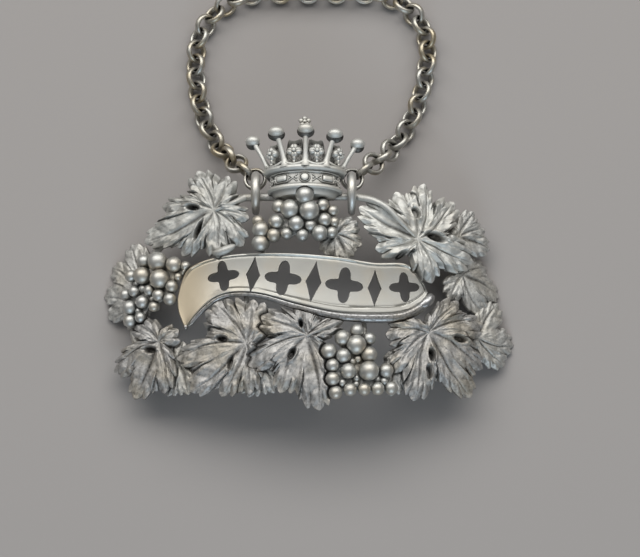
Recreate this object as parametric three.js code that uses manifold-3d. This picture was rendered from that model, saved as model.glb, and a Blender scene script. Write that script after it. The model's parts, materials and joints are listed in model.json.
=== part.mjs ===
// A cast silver decanter label: a pierced scroll framed by vine leaves and grape bunches under a coronet,
// with two suspension rings and the loop of chain that goes round the decanter's neck.
// Millimetres, +Z up. The label lies face up on its two ends and +Y points from its foot to its coronet.
import * as THREE from "three";
import { mergeVertices } from "three/addons/utils/BufferGeometryUtils.js";
import Module from "manifold-3d";

// Driving dimensions
const BODY_RADIUS = 64; // the label is bent to fit the side of a decanter of about 130 mm
const SOLDER_GAP = 0.12; // clearance left between pieces that are soldered together
const REST_FLAT = 0.6; // depth filed off the two ends, where the label rests

const BRANCH_RADIUS = 0.8;
const TWIG_RADIUS = 0.5;
const TOP_BAR_Y = 11.4; // height of the straight stretch of branch that the rings hang on

const LEAF_EDGE = 0.5; // thickness of a leaf at its rim
const LEAF_CORE = 2.4; // a leaf is never narrower than this round the point where its veins meet
const LOBE_TIP = 0.7; // how far a lobe's rounded tip runs past the end of its vein
const LOBE_FULLNESS = 1.22;
const TOOTH_PITCH = 3.1;
const TOOTH_DEPTH = 0.5;
const EYELET = [0.34, 0.75]; // half width and half length of the slit between two lobes

const PAD_THICKNESS = 0.6; // the pad under a bunch of grapes
const GRAPE_SWELL = 1.12; // grapes press a little into each other
const BUNCH_HEAP = 0.7; // how much higher the middle of a bunch stands

const SCROLL_THICKNESS = 1.0;
const SCROLL_RIM_WIDTH = 0.65;
const SCROLL_RIM_HEIGHT = 0.35;
const SCROLL_ROLL_RADIUS = [0.36, 0.84]; // the turned-over lower edge, at its left and right ends
const SCROLL_ROLL_OUT = 0.7; // how far the roll's middle lies outside that edge, as a share of its radius

const CORONET_RADIUS = 6.35;
const CORONET_DEPTH = 3.7; // how far the coronet stands out of its seat
const CORONET_LEAN = 8; // degrees that its head leans back
const CORONET_AT = [-0.6, 11.15];
const BAND_HEIGHT = 4.6;
const POINT_HEIGHT = 5.9;
const RIM_RADIUS = 7.25; // of the band's upper rim
const POINT_FLARE = 2.7;
const PEARL_RADIUS = 1.2;
// Where each point stands, in degrees round the band, and how far its pearl is off the even curve
const POINTS = [[-77, 0.35], [-30, -0.25], [1, -0.2], [32, -0.6], [77, -0.2]];
const PLATE_THICKNESS = 1.25;
const FINIAL_RISE = 1.4; // of the small finial over the middle point

const RING_RADIUS = 3.1; // to the middle of the wire
const RING_WIRE = 0.85; // wire radius where the ring is thickest
const RING_SPREAD = 16.5; // distance between the two rings
const RING_MIDDLE_X = -0.85;
const RING_PLAY = 0.15; // clearance between a ring and the branch it hangs on
const RING_DROOP = -48; // degrees from +Y at which each ring hangs off its branch
const RING_SWING = [-38, 25]; // degrees that each ring turns from there

const LINK_RADIUS = 1.75; // to the middle of the wire
const LINK_WIRE = [0.4, 0.57]; // half thickness and half width of the wire
const FIRST_LINK_PLAY = 0.05; // more clearance, between a ring and the link on it
const LINK_PLAY = 0.17; // clearance left between two links when the chain is pulled straight
const LINKS_A_SIDE = 23; // the two last ones meet at the top of the loop
const CHAIN_ATTACH = -28; // degrees from +Y round the ring at which the first link sits
const CHAIN_SPREAD = 49; // degrees at which each side sets out from its ring
const CHAIN_CLOSING = 4; // degrees by which each side leans in again further up
const CHAIN_SETTLES = 6; // links that it takes to come down to the table
const CHAIN_CORNER = 7; // links in the turn across the top
const CHAIN_LEAN = 0.055; // how far the loop lies over to the right, per millimetre upwards

// Heights above the bent sheet, from the back of the label outwards
const SEAT = 2 * BRANCH_RADIUS + SOLDER_GAP; // what is laid over the branch starts here
const SPRIG_BASE = 0.45; // the small leaves cast in one with the branch
const SPRIG_RISE = SEAT - SOLDER_GAP - SPRIG_BASE - LEAF_EDGE;
const FAR_OUT = 9; // above every leaf
const ALL_ROUND = 200; // wider than the whole object

// From one link's middle to the next, and how far a ring's middle hangs from the middle of its branch
const LINK_PITCH = 2 * (LINK_RADIUS - LINK_WIRE[0]) - LINK_PLAY;
const RING_HANG = RING_RADIUS - RING_WIRE - BRANCH_RADIUS - RING_PLAY;

const SILVER = { color: 0xb9b7b0, roughness: 0.42, metalness: 1 };
const POLISHED = { color: 0xd8d4c8, roughness: 0.24, metalness: 1 };
const DARK_SILVER = { color: 0x8f8c86, roughness: 0.36, metalness: 1 };

const wasm = await Module();
wasm.setup();
const radians = THREE.MathUtils.degToRad;

// A closed geometry as a solid that can be joined and cut.
function solid(geometry) {
  const bare = geometry.index ? geometry.toNonIndexed() : geometry.clone();
  for (const name of Object.keys(bare.attributes)) {
    if (name !== "position") bare.deleteAttribute(name);
  }
  const merged = mergeVertices(bare, 1e-4);
  return new wasm.Manifold(
    new wasm.Mesh({
      numProp: 3,
      vertProperties: merged.attributes.position.array,
      triVerts: new Uint32Array(merged.index.array),
    }),
  );
}

// A solid back as a geometry. Only its main body is kept: a cut can leave loose slivers.
function geometryOf(body) {
  const main = body.decompose().reduce((a, b) => (b.volume() > a.volume() ? b : a));
  const mesh = main.getMesh();
  return new THREE.BufferGeometry()
    .setAttribute("position", new THREE.BufferAttribute(new Float32Array(mesh.vertProperties), 3))
    .setIndex(new THREE.BufferAttribute(new Uint32Array(mesh.triVerts), 1))
    .toNonIndexed();
}

function joined(solids) {
  return solids.reduce((all, next) => all.add(next));
}

// Bends the flat layout (s along the sheet, y up the label, h out of its face) round the decanter's radius.
function bent(geometry) {
  const at = geometry.attributes.position;
  for (let i = 0; i < at.count; i++) {
    const [s, y, h] = [at.getX(i), at.getY(i), at.getZ(i)];
    const radius = BODY_RADIUS + h;
    const angle = s / BODY_RADIUS;
    at.setXYZ(i, radius * Math.sin(angle), y, radius * Math.cos(angle) - BODY_RADIUS);
  }
  return geometry;
}

// Triangles between two rings of n and m points that start at a and b. A ring may be a single point.
function stitch(a, n, b, m) {
  const faces = [];
  let [i, j] = [n === 1 ? 1 : 0, m === 1 ? 1 : 0];
  while (i < n || j < m) {
    if (j >= m || (i < n && (i + 1) / n <= (j + 1) / m)) {
      faces.push([a + i, a + ((i + 1) % n), b + (j % m)]);
      i += 1;
    } else {
      faces.push([a + (i % n), b + ((j + 1) % m), b + j]);
      j += 1;
    }
  }
  return faces;
}

// A closed skin over rings of points that turn the same way, each a list of [s, y, h].
// An open row of rings is capped with a fan at either end.
function skin(rings, closed = false) {
  const points = [];
  const starts = rings.map((ring) => points.push(...ring) - ring.length);
  const faces = [];
  const last = rings.length - 1;
  for (let i = 0; i < (closed ? rings.length : last); i++) {
    const next = (i + 1) % rings.length;
    faces.push(...stitch(starts[i], rings[i].length, starts[next], rings[next].length));
  }
  const fan = (start, count, turn) => {
    for (let k = 1; k < count - 1; k++) faces.push([start, start + k + turn, start + k + 1 - turn]);
  };
  if (!closed) {
    fan(starts[0], rings[0].length, 1);
    fan(starts[last], rings[last].length, 0);
  }
  return new THREE.BufferGeometry()
    .setAttribute("position", new THREE.Float32BufferAttribute(points.flat(), 3))
    .setIndex(faces.flat())
    .toNonIndexed();
}

// A round stem along a path.
function stem(path, radius, steps, sides = 6) {
  const curve = new THREE.CatmullRomCurve3(path.map((p) => new THREE.Vector3(...p)), false, "centripetal");
  const section = new THREE.Shape(
    Array.from({ length: sides }, (_, k) => {
      const turn = ((k + 0.5) / sides) * 2 * Math.PI;
      return new THREE.Vector2(radius * Math.cos(turn), radius * Math.sin(turn));
    }),
  );
  return new THREE.ExtrudeGeometry(section, { steps, extrudePath: curve });
}

// An upright-walled block over a flat outline, from one height to another.
function block(outline, from, to) {
  const shape = new THREE.Shape(outline.map(([s, y]) => new THREE.Vector2(s, y)));
  return new THREE.ExtrudeGeometry(shape, { depth: to - from, bevelEnabled: false }).translate(0, 0, from);
}

// The space in front of and behind an outline on the bent sheet.
function space(outline) {
  return solid(bent(block(outline, -FAR_OUT, FAR_OUT)));
}

// Everything between two heights above the sheet, over half of its round.
function layer(from, to) {
  const [wide, steps] = [BODY_RADIUS * Math.PI, 60];
  const slab = new THREE.BoxGeometry(wide, ALL_ROUND, to - from, steps, 1, 1);
  return solid(bent(slab.translate(0, 0, (from + to) / 2)));
}

function circle([s, y], radius, sides) {
  return Array.from({ length: sides }, (_, k) => {
    const turn = (k / sides) * 2 * Math.PI;
    return [s + radius * Math.cos(turn), y + radius * Math.sin(turn)];
  });
}

// Reach of a vine leaf from the point where its veins meet. Each lobe is an ellipse that starts there.
function reach(leaf, angle) {
  return Math.max(
    LEAF_CORE,
    ...leaf.lobes.map(([ds, dy, half]) => {
      const off = angle - Math.atan2(dy, ds);
      const a = (Math.hypot(ds, dy) + LOBE_TIP) / 2;
      const c = Math.cos(off);
      return c <= 0 ? 0 : (2 * a * c) / (c * c + (a / (half * LOBE_FULLNESS)) ** 2 * (1 - c * c));
    }),
  );
}

// The outline's angles, evenly spaced along the leaf's edge. Their count is even: teeth and notches alternate.
function edgeAngles(leaf) {
  const fine = 720;
  const points = Array.from({ length: fine + 1 }, (_, i) => {
    const angle = (i / fine) * 2 * Math.PI;
    const r = reach(leaf, angle);
    return [r * Math.cos(angle), r * Math.sin(angle), angle];
  });
  const run = [0];
  for (let i = 1; i <= fine; i++) {
    run.push(run[i - 1] + Math.hypot(points[i][0] - points[i - 1][0], points[i][1] - points[i - 1][1]));
  }
  const count = 2 * Math.round(run[fine] / TOOTH_PITCH);
  const angles = [];
  for (let k = 0, i = 0; k < count; k++) {
    while (run[i + 1] < (k / count) * run[fine]) i++;
    angles.push(points[i][2]);
  }
  return angles;
}

// How far between two veins an angle lies: 0 on a lobe's midrib and 1 furthest from any.
function offVein(leaf, angle) {
  const nearest = Math.min(
    ...leaf.lobes.map(([ds, dy]) => {
      const off = Math.abs(angle - Math.atan2(dy, ds)) % (2 * Math.PI);
      return Math.min(off, 2 * Math.PI - off);
    }),
  );
  return Math.min(1, nearest / radians(26));
}

// A cast leaf: toothed edge, lobes puffed between sunken veins, hollow back.
function leafSolid(leaf) {
  const { at, base, rise } = leaf;
  const angles = edgeAngles(leaf);
  const ring = (share, height, every = 1) =>
    angles
      .filter((_, k) => k % every === 0)
      .map((angle, k) => {
        const notch = share === 1 && k % 2 === 1 ? TOOTH_DEPTH : 0;
        const r = reach(leaf, angle) * share - notch;
        return [at[0] + r * Math.cos(angle), at[1] + r * Math.sin(angle), base + height(angle)];
      });
  const puff = (low, high) => (angle) => LEAF_EDGE + rise * (low + (high - low) * offVein(leaf, angle));
  const geometry = skin([
    [[at[0], at[1], base + 0.35 * rise]],
    ring(1, () => 0),
    ring(1, (angle) => LEAF_EDGE + 0.12 * rise * Math.sin(5 * angle + at[0])),
    ring(0.78, puff(0.35, 0.85)),
    ring(0.4, puff(0.45, 1), 2),
    [[at[0], at[1], base + LEAF_EDGE + 0.45 * rise]],
  ]);
  const eyelets = (leaf.eyelets ?? []).map(([s, y, turn]) => {
    const round = new THREE.CylinderGeometry(1, 1, FAR_OUT, 8).rotateX(Math.PI / 2);
    const slit = round.scale(EYELET[0], EYELET[1], 1);
    return solid(bent(slit.rotateZ(radians(turn)).translate(s, y, base + FAR_OUT / 2 - 1)));
  });
  return eyelets.reduce((body, slit) => body.subtract(slit), solid(bent(geometry)));
}

// A small leaf: toothed edge, a face pinched down to where its veins meet, and one side that may bend down.
function sprigSolid(leaf) {
  const angles = edgeAngles(leaf);
  const ring = (share, height) =>
    angles.map((angle, k) => {
      const r = (reach(leaf, angle) - (k % 2 === 1 ? TOOTH_DEPTH : 0)) * share;
      const [ds, dy] = [r * Math.cos(angle), r * Math.sin(angle)];
      const sag = Math.max(0, (leaf.sag?.[0] ?? 0) * ds + (leaf.sag?.[1] ?? 0) * dy);
      return [leaf.at[0] + ds, leaf.at[1] + dy, SPRIG_BASE + height(k) - sag];
    });
  const middle = (height) => [[...leaf.at, SPRIG_BASE + height]];
  const crease = (k) => LEAF_EDGE + (k % 4 < 2 ? 1 : 0.6) * SPRIG_RISE;
  const crown = ring(0.6, crease).filter((_, k) => k % 2 === 0);
  const rims = [ring(1, () => 0), ring(1, () => LEAF_EDGE)];
  return solid(bent(skin([middle(0.1), ...rims, crown, middle(LEAF_EDGE + 0.1)])));
}

// The room a leaf needs: its tooth tips joined up and grown by the solder gap.
function leafRoom(leaf) {
  const tips = edgeAngles(leaf).filter((_, k) => k % 2 === 0);
  return space(
    tips.map((angle) => {
      const r = reach(leaf, angle) + SOLDER_GAP;
      return [leaf.at[0] + r * Math.cos(angle), leaf.at[1] + r * Math.sin(angle)];
    }),
  );
}

// Leaves: the place where the veins meet, and each lobe's reach in s and y with its half width
const LEAVES = {
  leaf_upper_left: {
    at: [-15.8, 9.0],
    base: SEAT,
    rise: 1.5,
    lobes: [
      [-1.7, 6.6, 2.8], [-8.9, 1.9, 2.4], [-12.1, -4.4, 2.5], [-4.7, -7.3, 2.1],
      [1.2, -7.9, 2.5], [5.2, -5.4, 2.3],
    ],
    eyelets: [[-20.2, 9.9, 80], [-18.3, 5.6, -25]],
  },
  leaf_upper_right: {
    at: [18.0, 4.0],
    base: SEAT,
    rise: 2.0,
    lobes: [
      [-9.2, 5.2, 2.8], [-3.2, 7.8, 2.2], [1.4, 9.6, 2.4], [6.6, 7.0, 2.7], [9.9, -2.9, 3.0],
      [2.6, -6.8, 2.2], [-6.4, -1.9, 2.1],
    ],
    eyelets: [[18.0, 8.8, 10], [22.0, 4.9, 70]],
  },
  leaf_lower_right: {
    at: [19.9, -12.2],
    base: SEAT,
    rise: 1.8,
    lobes: [
      [-6.6, -0.4, 2.7], [5.3, 5.7, 2.2], [9.7, 2.2, 2.4], [9.6, -5.2, 2.8], [7.4, -10.1, 2.7],
      [-2.3, -11.2, 2.6], [-5.6, -6.6, 2.1],
    ],
    eyelets: [[20.7, -16.2, 5], [25.6, -13.0, 75]],
  },
  leaf_lower_middle: {
    at: [-0.2, -13.3],
    base: SEAT,
    rise: 1.7,
    lobes: [
      [1.8, -12.1, 3.0], [-9.2, -4.6, 2.3], [-7.2, 3.3, 2.6], [-1.6, 5.4, 2.4], [5.6, 2.8, 1.6],
      [3.8, -6.6, 2.0], [-4.2, -9.2, 2.4],
    ],
    eyelets: [[-2.0, -16.2, -20]],
  },
  leaf_lower_left_inner: {
    at: [-10.2, -14.5],
    base: SEAT,
    rise: 1.5,
    lobes: [
      [-5.0, 7.0, 2.8], [1.2, 6.9, 2.6], [-11.4, -1.8, 2.4], [-9.0, -7.4, 2.8],
      [-3.8, -8.3, 2.4], [0.6, -8.2, 2.0],
    ],
    eyelets: [[-14.3, -13.6, 80], [-13.0, -17.6, -8]],
  },
  leaf_lower_left: {
    at: [-25.2, -13.4],
    base: SEAT,
    rise: 1.2,
    lobes: [[-4.3, 3.6, 2.2], [-8.3, -4.2, 2.4], [-4.3, -9.1, 2.5], [0.8, -8.4, 2.2], [3.0, 1.6, 1.8]],
    eyelets: [[-27.4, -14.6, 80]],
  },
};

// Small leaves that grow straight off the branch and lie behind the others. The label rests on the outermost
// ones: those with a sag bend down on one side, by so much per millimetre, and so the label doesn't rock.
const SPRIG_LEAVES = [
  { at: [26.4, 5.4], lobes: [[2.6, 4.4, 1.9], [4.6, 1.8, 1.8], [5.6, -1.4, 1.9]] },
  {
    at: [27.0, -1.2], sag: [0.24, 0.3],
    lobes: [
      [5.6, 2.1, 2.0], [7.5, -2.7, 2.2], [3.9, -6.1, 2.2], [-2.4, -3.9, 2.0],
    ],
  },
  { at: [29.6, -12.0], lobes: [[7.1, -0.6, 2.4], [4.1, 5.9, 2.2], [5.0, -4.2, 2.2]] },
  { at: [4.6, 4.6], lobes: [[3.9, 2.4, 1.7], [4.0, -1.4, 1.6], [1.6, -4.0, 2.0], [-1.4, -3.0, 1.8]] },
  {
    at: [-28.4, -3.4], sag: [0, 0.12],
    lobes: [
      [-3.8, 7.9, 2.4], [-7.3, 4.3, 2.2], [-8.6, -0.6, 2.2], [-7.6, -4.4, 2.0],
      [-3.4, -6.6, 2.2],
    ],
  },
  { at: [-22.2, -17.4], lobes: [[-1.9, -4.6, 1.8], [1.6, -4.6, 1.8], [0.6, 3.6, 1.8]] },
  { at: [-8.6, -17.6], lobes: [[-1.2, -5.2, 2.0], [2.6, -4.6, 1.8]] },
  { at: [15.0, -17.0], lobes: [[-1.0, -5.4, 1.8], [3.4, -5.0, 1.8]] },
];

// Grapes: place in s and y, and radius. A cluster is the run of grapes that share a pad.
const BUNCHES = {
  grapes_left: {
    base: SEAT,
    clusters: [[0, 17]],
    grapes: [
      [-25.4, 0.6, 1.47], [-28.2, 1.0, 1.0], [-22.6, -0.1, 1.19], [-28.2, -1.6, 1.3], [-30.5, -1.4, 0.95],
      [-24.9, -2.5, 1.5], [-22.9, -3.9, 0.95], [-31.6, -4.6, 0.9], [-29.8, -4.2, 0.85], [-30.7, -6.9, 1.1],
      [-28.2, -6.2, 1.0], [-26.9, -4.3, 0.85], [-25.2, -5.3, 0.95], [-23.2, -6.1, 0.95], [-26.1, -7.2, 0.8],
      [-30.8, -9.2, 1.0], [-28.7, -8.8, 0.85],
    ],
  },
  grapes_middle: {
    base: SEAT,
    clusters: [[0, 15], [14, 19]],
    grapes: [
      [-0.6, 10.8, 1.4], [-3.0, 8.6, 1.4], [0.1, 8.3, 1.5], [-4.9, 9.2, 1.0], [2.3, 9.4, 1.0],
      [4.0, 8.5, 0.85],
      [-2.0, 6.1, 1.2], [0.3, 5.8, 0.9], [2.6, 6.8, 1.05], [4.2, 6.5, 0.8], [1.8, 4.5, 1.2],
      [3.8, 4.7, 0.9], [-3.6, 4.4, 0.9], [-1.0, 4.1, 0.95], [-5.3, 6.5, 1.1], [-7.8, 5.2, 1.3],
      [-8.3, 6.8, 0.9], [-7.9, 2.9, 1.3], [-5.7, 4.2, 1.05],
    ],
  },
  grapes_right: {
    base: SEAT,
    clusters: [[0, 17]],
    grapes: [
      [7.9, -12.3, 1.05], [5.5, -13.6, 1.2], [9.9, -13.6, 1.0], [7.7, -14.8, 1.5], [3.3, -15.9, 1.15],
      [5.6, -16.7, 1.15], [9.8, -16.4, 1.2], [3.9, -18.3, 1.0], [6.4, -19.3, 1.2], [9.7, -19.2, 1.45],
      [12.6, -19.0, 1.1], [3.9, -20.6, 1.05], [4.4, -22.9, 1.0], [6.7, -22.4, 1.0], [9.0, -22.3, 0.95],
      [11.2, -22.1, 1.0], [13.5, -21.9, 1.0],
    ],
  },
};

// The convex outline round a bunch, grown by a margin past each grape's middle.
function bunchOutline(grapes, margin) {
  const around = grapes.flatMap(([s, y, r]) => circle([s, y], r * 0.2 + margin, 6));
  around.sort((a, b) => a[0] - b[0] || a[1] - b[1]);
  const turnsLeft = (a, b, c) => (b[0] - a[0]) * (c[1] - a[1]) - (b[1] - a[1]) * (c[0] - a[0]) > 0;
  const half = (points) => {
    const kept = [];
    for (const p of points) {
      while (kept.length > 1 && !turnsLeft(kept.at(-2), kept.at(-1), p)) kept.pop();
      kept.push(p);
    }
    return kept.slice(0, -1);
  };
  return [...half(around), ...half([...around].reverse())];
}

function middleOf(points) {
  return points.reduce(([s, y], p) => [s + p[0] / points.length, y + p[1] / points.length], [0, 0]);
}

// Grapes heaped on a thin pad: the nearer a grape is to the middle of its bunch, the higher it sits.
function bunchSolid({ base, grapes, clusters }) {
  const middle = middleOf(grapes);
  const spread = Math.max(...grapes.map(([s, y]) => Math.hypot(s - middle[0], y - middle[1])));
  const pads = clusters.map(([from, to]) => {
    const outline = bunchOutline(grapes.slice(from, to), 0);
    const [cs, cy] = middleOf(outline);
    const rim = (share, h) => outline.map(([s, y]) => [cs + share * (s - cs), cy + share * (y - cy), h]);
    const top = base + PAD_THICKNESS;
    return skin([[[cs, cy, base]], rim(0.5, base), rim(1, base), rim(1, top), [[cs, cy, top]]]);
  });
  const berries = grapes.map(([s, y, r]) => {
    const heap = 1 - (Math.hypot(s - middle[0], y - middle[1]) / spread) ** 2;
    const up = PAD_THICKNESS / 2 + r * 0.55 + BUNCH_HEAP * heap;
    const wide = r * GRAPE_SWELL;
    const foot = PAD_THICKNESS / 3;
    const round = [[0.8 * wide, foot], [wide, up], [0.7 * wide, up + 0.7 * wide]];
    const profile = [[0, foot], ...round, [0, up + wide]].map(([x, z]) => new THREE.Vector2(x, z));
    const berry = new THREE.LatheGeometry(profile, 6);
    return berry.rotateX(Math.PI / 2).translate(s, y, base);
  });
  return joined([...pads, ...berries].map((geometry) => solid(bent(geometry))));
}

// The room a bunch needs: its pads and every grape's own circle, grown by the solder gap.
function bunchRoom({ grapes, clusters }) {
  const berries = grapes.map(([s, y, r]) => space(circle([s, y], r * GRAPE_SWELL + SOLDER_GAP, 10)));
  const pads = clusters.map(([from, to]) => space(bunchOutline(grapes.slice(from, to), SOLDER_GAP)));
  return joined([...pads, ...berries]);
}

// Scroll: points along its upper and its lower edge, from the left-hand tail to the right-hand end
const SCROLL_UPPER = [
  [-20.8, -11.1], [-22, -7.6], [-21.7, -4.2], [-19.8, -0.7], [-14, 1], [-5, 1.2], [4, 0.6],
  [10.5, -0.3], [16.2, -0.3], [18.6, -2.8], [19.7, -4.9],
];
const SCROLL_LOWER = [
  [-20.3, -10.9], [-18.9, -9.2], [-16.9, -7.3], [-14.8, -6], [-11.6, -5.5], [-7.4, -6], [-2, -7.7],
  [4.5, -9.2], [10.5, -9.4], [15.2, -8.9], [18.4, -7.2], [19.9, -5.4],
];

function scrollEdges(steps) {
  const edge = (points) => new THREE.SplineCurve(points.map(([s, y]) => new THREE.Vector2(s, y)));
  return [edge(SCROLL_UPPER), edge(SCROLL_LOWER)].map((curve) => curve.getSpacedPoints(steps));
}

// The rolled edge at each step along the lower edge: its middle, its radius and the way outwards.
function scrollRoll(lower) {
  return lower.map(({ x, y }, k) => {
    const share = k / (lower.length - 1);
    const next = lower[Math.min(k + 1, lower.length - 1)];
    const before = lower[Math.max(k - 1, 0)];
    const out = next.clone().sub(before).normalize().rotateAround(new THREE.Vector2(), -Math.PI / 2);
    const radius = THREE.MathUtils.lerp(...SCROLL_ROLL_RADIUS, THREE.MathUtils.smoothstep(share, 0.2, 0.85));
    const middle = new THREE.Vector2(x, y).addScaledVector(out, SCROLL_ROLL_OUT * radius);
    return { middle, radius, out };
  });
}

// A pierced motif's outline: four round lobes, or a tall lozenge with hollow sides.
function quatrefoil([s, y], size) {
  const points = [];
  for (let k = 0; k < 16; k++) {
    const turn = (k / 16) * 2 * Math.PI;
    const r = size * (0.74 + 0.26 * Math.cos(4 * turn));
    points.push([s + r * Math.cos(turn), y + r * Math.sin(turn)]);
  }
  return points;
}

function lozenge([s, y], size) {
  const [wide, tall] = [0.42 * size, 1.15 * size];
  const waist = 0.36;
  const corners = [[wide, 0], [0, tall], [-wide, 0], [0, -tall]];
  return corners.flatMap(([a, b], k) => {
    const [c, d] = corners[(k + 1) % 4];
    return [[s + a, y + b], [s + waist * (a + c), y + waist * (b + d)]];
  });
}

// The scroll: a ribbon with raised rims, a rolled lower edge, and a running row of pierced ornament.
function scrollSolid() {
  const steps = 18;
  const [upper, lower] = scrollEdges(steps);
  const [base, face] = [SEAT, SEAT + SCROLL_THICKNESS];
  const rings = upper.map((top, i) => {
    const foot = lower[i];
    const width = top.distanceTo(foot);
    const rim = Math.min(SCROLL_RIM_WIDTH, width * 0.3) / width;
    const point = (share, h) => [top.x + (foot.x - top.x) * share, top.y + (foot.y - top.y) * share, h];
    const crest = face + SCROLL_RIM_HEIGHT;
    return [
      point(0, base), point(0, face), point(rim * 0.5, crest), point(rim, face),
      point(1 - rim, face), point(1 - rim * 0.5, crest), point(1, face), point(1, base),
    ];
  });
  const ribbon = solid(bent(skin(rings)));
  const rolled = scrollRoll(lower).map(({ middle, radius, out }) => {
    const height = base + Math.max(radius, SCROLL_THICKNESS * 0.6);
    const round = circle([0, 0], radius, 6);
    return round.map(([aside, up]) => [middle.x + out.x * aside, middle.y + out.y * aside, height + up]);
  });
  const roll = skin(rolled.map((ring) => ring.reverse()));
  const pierced = [];
  const motifs = 7;
  for (let k = 0; k < motifs; k++) {
    const at = Math.round(steps * (0.26 + (0.62 * k) / (motifs - 1)));
    const middle = upper[at].clone().lerp(lower[at], 0.5).toArray();
    const size = upper[at].distanceTo(lower[at]) * 0.31;
    const outline = k % 2 === 0 ? quatrefoil(middle, size) : lozenge(middle, size);
    pierced.push(solid(bent(block(outline, base - 1, face + 2))));
  }
  return pierced.reduce((body, hole) => body.subtract(hole), ribbon.add(solid(bent(roll))));
}

// The room the scroll needs, grown by the solder gap.
function scrollRoom() {
  const [upper, lower] = scrollEdges(20);
  const top = upper.map(({ x, y }) => [x, y]);
  const rolled = scrollRoll(lower).map(({ middle, radius, out }) => middle.addScaledVector(out, radius));
  const foot = rolled.map(({ x, y }) => [x, y]).reverse();
  const plain = space([...top, ...foot]);
  const nudges = circle([0, 0], 2 * SOLDER_GAP, 8);
  return joined(nudges.map(([s, y]) => plain.translate([s, y, 0])));
}

// One of the coronet's points and the pearl on it, from its foot upwards.
const UP_THE_LABEL = new THREE.Vector3(0, 1, 0);
function spikeProfile(height) {
  const neck = height - PEARL_RADIUS * 0.8;
  const pearl = Array.from({ length: 5 }, (_, k) => {
    const turn = radians(-58 + 37 * k);
    return [PEARL_RADIUS * Math.cos(turn), height + 0.86 * PEARL_RADIUS * Math.sin(turn)];
  });
  const stalk = [[0, 0], [1.15, 0], [0.55, 0.25 * neck], [0.36, 0.7 * neck], [0.42, neck]];
  const outline = [...stalk, ...pearl.slice(0, 4), [0, pearl[4][1]]];
  return outline.map(([r, up]) => new THREE.Vector2(r, up));
}

// The coronet: a jewelled band with two rims, five pearled points, leaves between them and a back plate.
function coronetSolid() {
  const [s, y] = CORONET_AT;
  const depth = CORONET_DEPTH / CORONET_RADIUS;
  const band = [
    [0, -0.6], [0.78, -0.6], [0.88, 0.3], [0.96, 0.55], [0.96, 1.0], [0.9, 1.2], [0.9, BAND_HEIGHT - 1.2],
    [RIM_RADIUS / CORONET_RADIUS, BAND_HEIGHT - 0.9], [RIM_RADIUS / CORONET_RADIUS, BAND_HEIGHT - 0.35],
    [0.9, BAND_HEIGHT], [0, BAND_HEIGHT],
  ].map(([r, up]) => new THREE.Vector2(r * CORONET_RADIUS, up));
  const onRound = (turn, radius, up) => [radius * Math.sin(turn), up, radius * Math.cos(turn) * depth];
  const parts = [new THREE.LatheGeometry(band, 12).scale(1, 1, depth)];
  const turns = POINTS.map(([turn]) => radians(turn));
  for (const [k, turn] of turns.entries()) {
    const lift = POINT_HEIGHT * (0.8 + 0.2 * Math.cos(turn)) + POINTS[k][1];
    const foot = new THREE.Vector3(...onRound(turn, CORONET_RADIUS * 0.94, BAND_HEIGHT - 0.5));
    const head = new THREE.Vector3(...onRound(turn, CORONET_RADIUS + POINT_FLARE, BAND_HEIGHT + lift));
    const aim = new THREE.Quaternion().setFromUnitVectors(UP_THE_LABEL, head.clone().sub(foot).normalize());
    const spike = new THREE.LatheGeometry(spikeProfile(head.distanceTo(foot)), 6);
    parts.push(spike.applyQuaternion(aim).translate(...foot));
  }
  for (let k = 0; k < turns.length - 1; k++) {
    const turn = (turns[k] + turns[k + 1]) / 2;
    for (const [aside, up, size] of [[0, 1.0, 0.42], [-0.5, 1.9, 0.5], [0.5, 1.9, 0.5], [0, 2.6, 0.52]]) {
      const [a, b, c] = onRound(turn, CORONET_RADIUS * 0.98 + 0.14 * up, BAND_HEIGHT + up - 0.5);
      parts.push(new THREE.OctahedronGeometry(size * 1.3, 0).translate(a + aside, b, c));
    }
  }
  for (const [turn, wide] of [[-40, 0.75], [0, 0.62], [40, 0.75]]) {
    const jewel = new THREE.OctahedronGeometry(wide, 0).scale(1.1, 0.75, 0.8);
    parts.push(jewel.translate(...onRound(radians(turn), CORONET_RADIUS * 0.93, BAND_HEIGHT / 2 + 0.15)));
  }
  const finial = [CORONET_RADIUS + POINT_FLARE - PEARL_RADIUS, BAND_HEIGHT + POINT_HEIGHT + FINIAL_RISE];
  const petals = 5;
  for (let k = 0; k < petals; k++) {
    const turn = (k / petals) * 2 * Math.PI + Math.PI / 2;
    const [x, up] = [0.5 * Math.cos(turn), finial[1] + 0.5 * Math.sin(turn)];
    parts.push(new THREE.OctahedronGeometry(0.42, 0).translate(x, up, finial[0] * depth));
  }
  const shank = new THREE.CylinderGeometry(0.3, 0.3, 2 * PEARL_RADIUS, 6);
  parts.push(shank.translate(0, finial[1] - PEARL_RADIUS, finial[0] * depth));
  const half = CORONET_RADIUS * 0.98;
  const head = half + 1.1;
  const scallop = [];
  for (let k = 0; k <= 16; k++) {
    const share = k / 16;
    const dip = 0.55 * Math.abs(Math.sin(share * 4 * Math.PI));
    const up = BAND_HEIGHT + 0.84 * POINT_HEIGHT + dip - 1.2 * (2 * share - 1) ** 2;
    scallop.push([THREE.MathUtils.lerp(head, -head, share), up]);
  }
  const plate = block([[-half, 0.4], [half, 0.4], ...scallop], 0.05, 0.05 + PLATE_THICKNESS);
  const place = (geometry) =>
    solid(bent(geometry.rotateX(-radians(CORONET_LEAN)).translate(s, y, SEAT + 0.4)));
  const whole = joined([...parts.map(place), place(plate)]);
  return whole.subtract(layer(SEAT - 2 * CORONET_RADIUS, SEAT));
}

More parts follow.
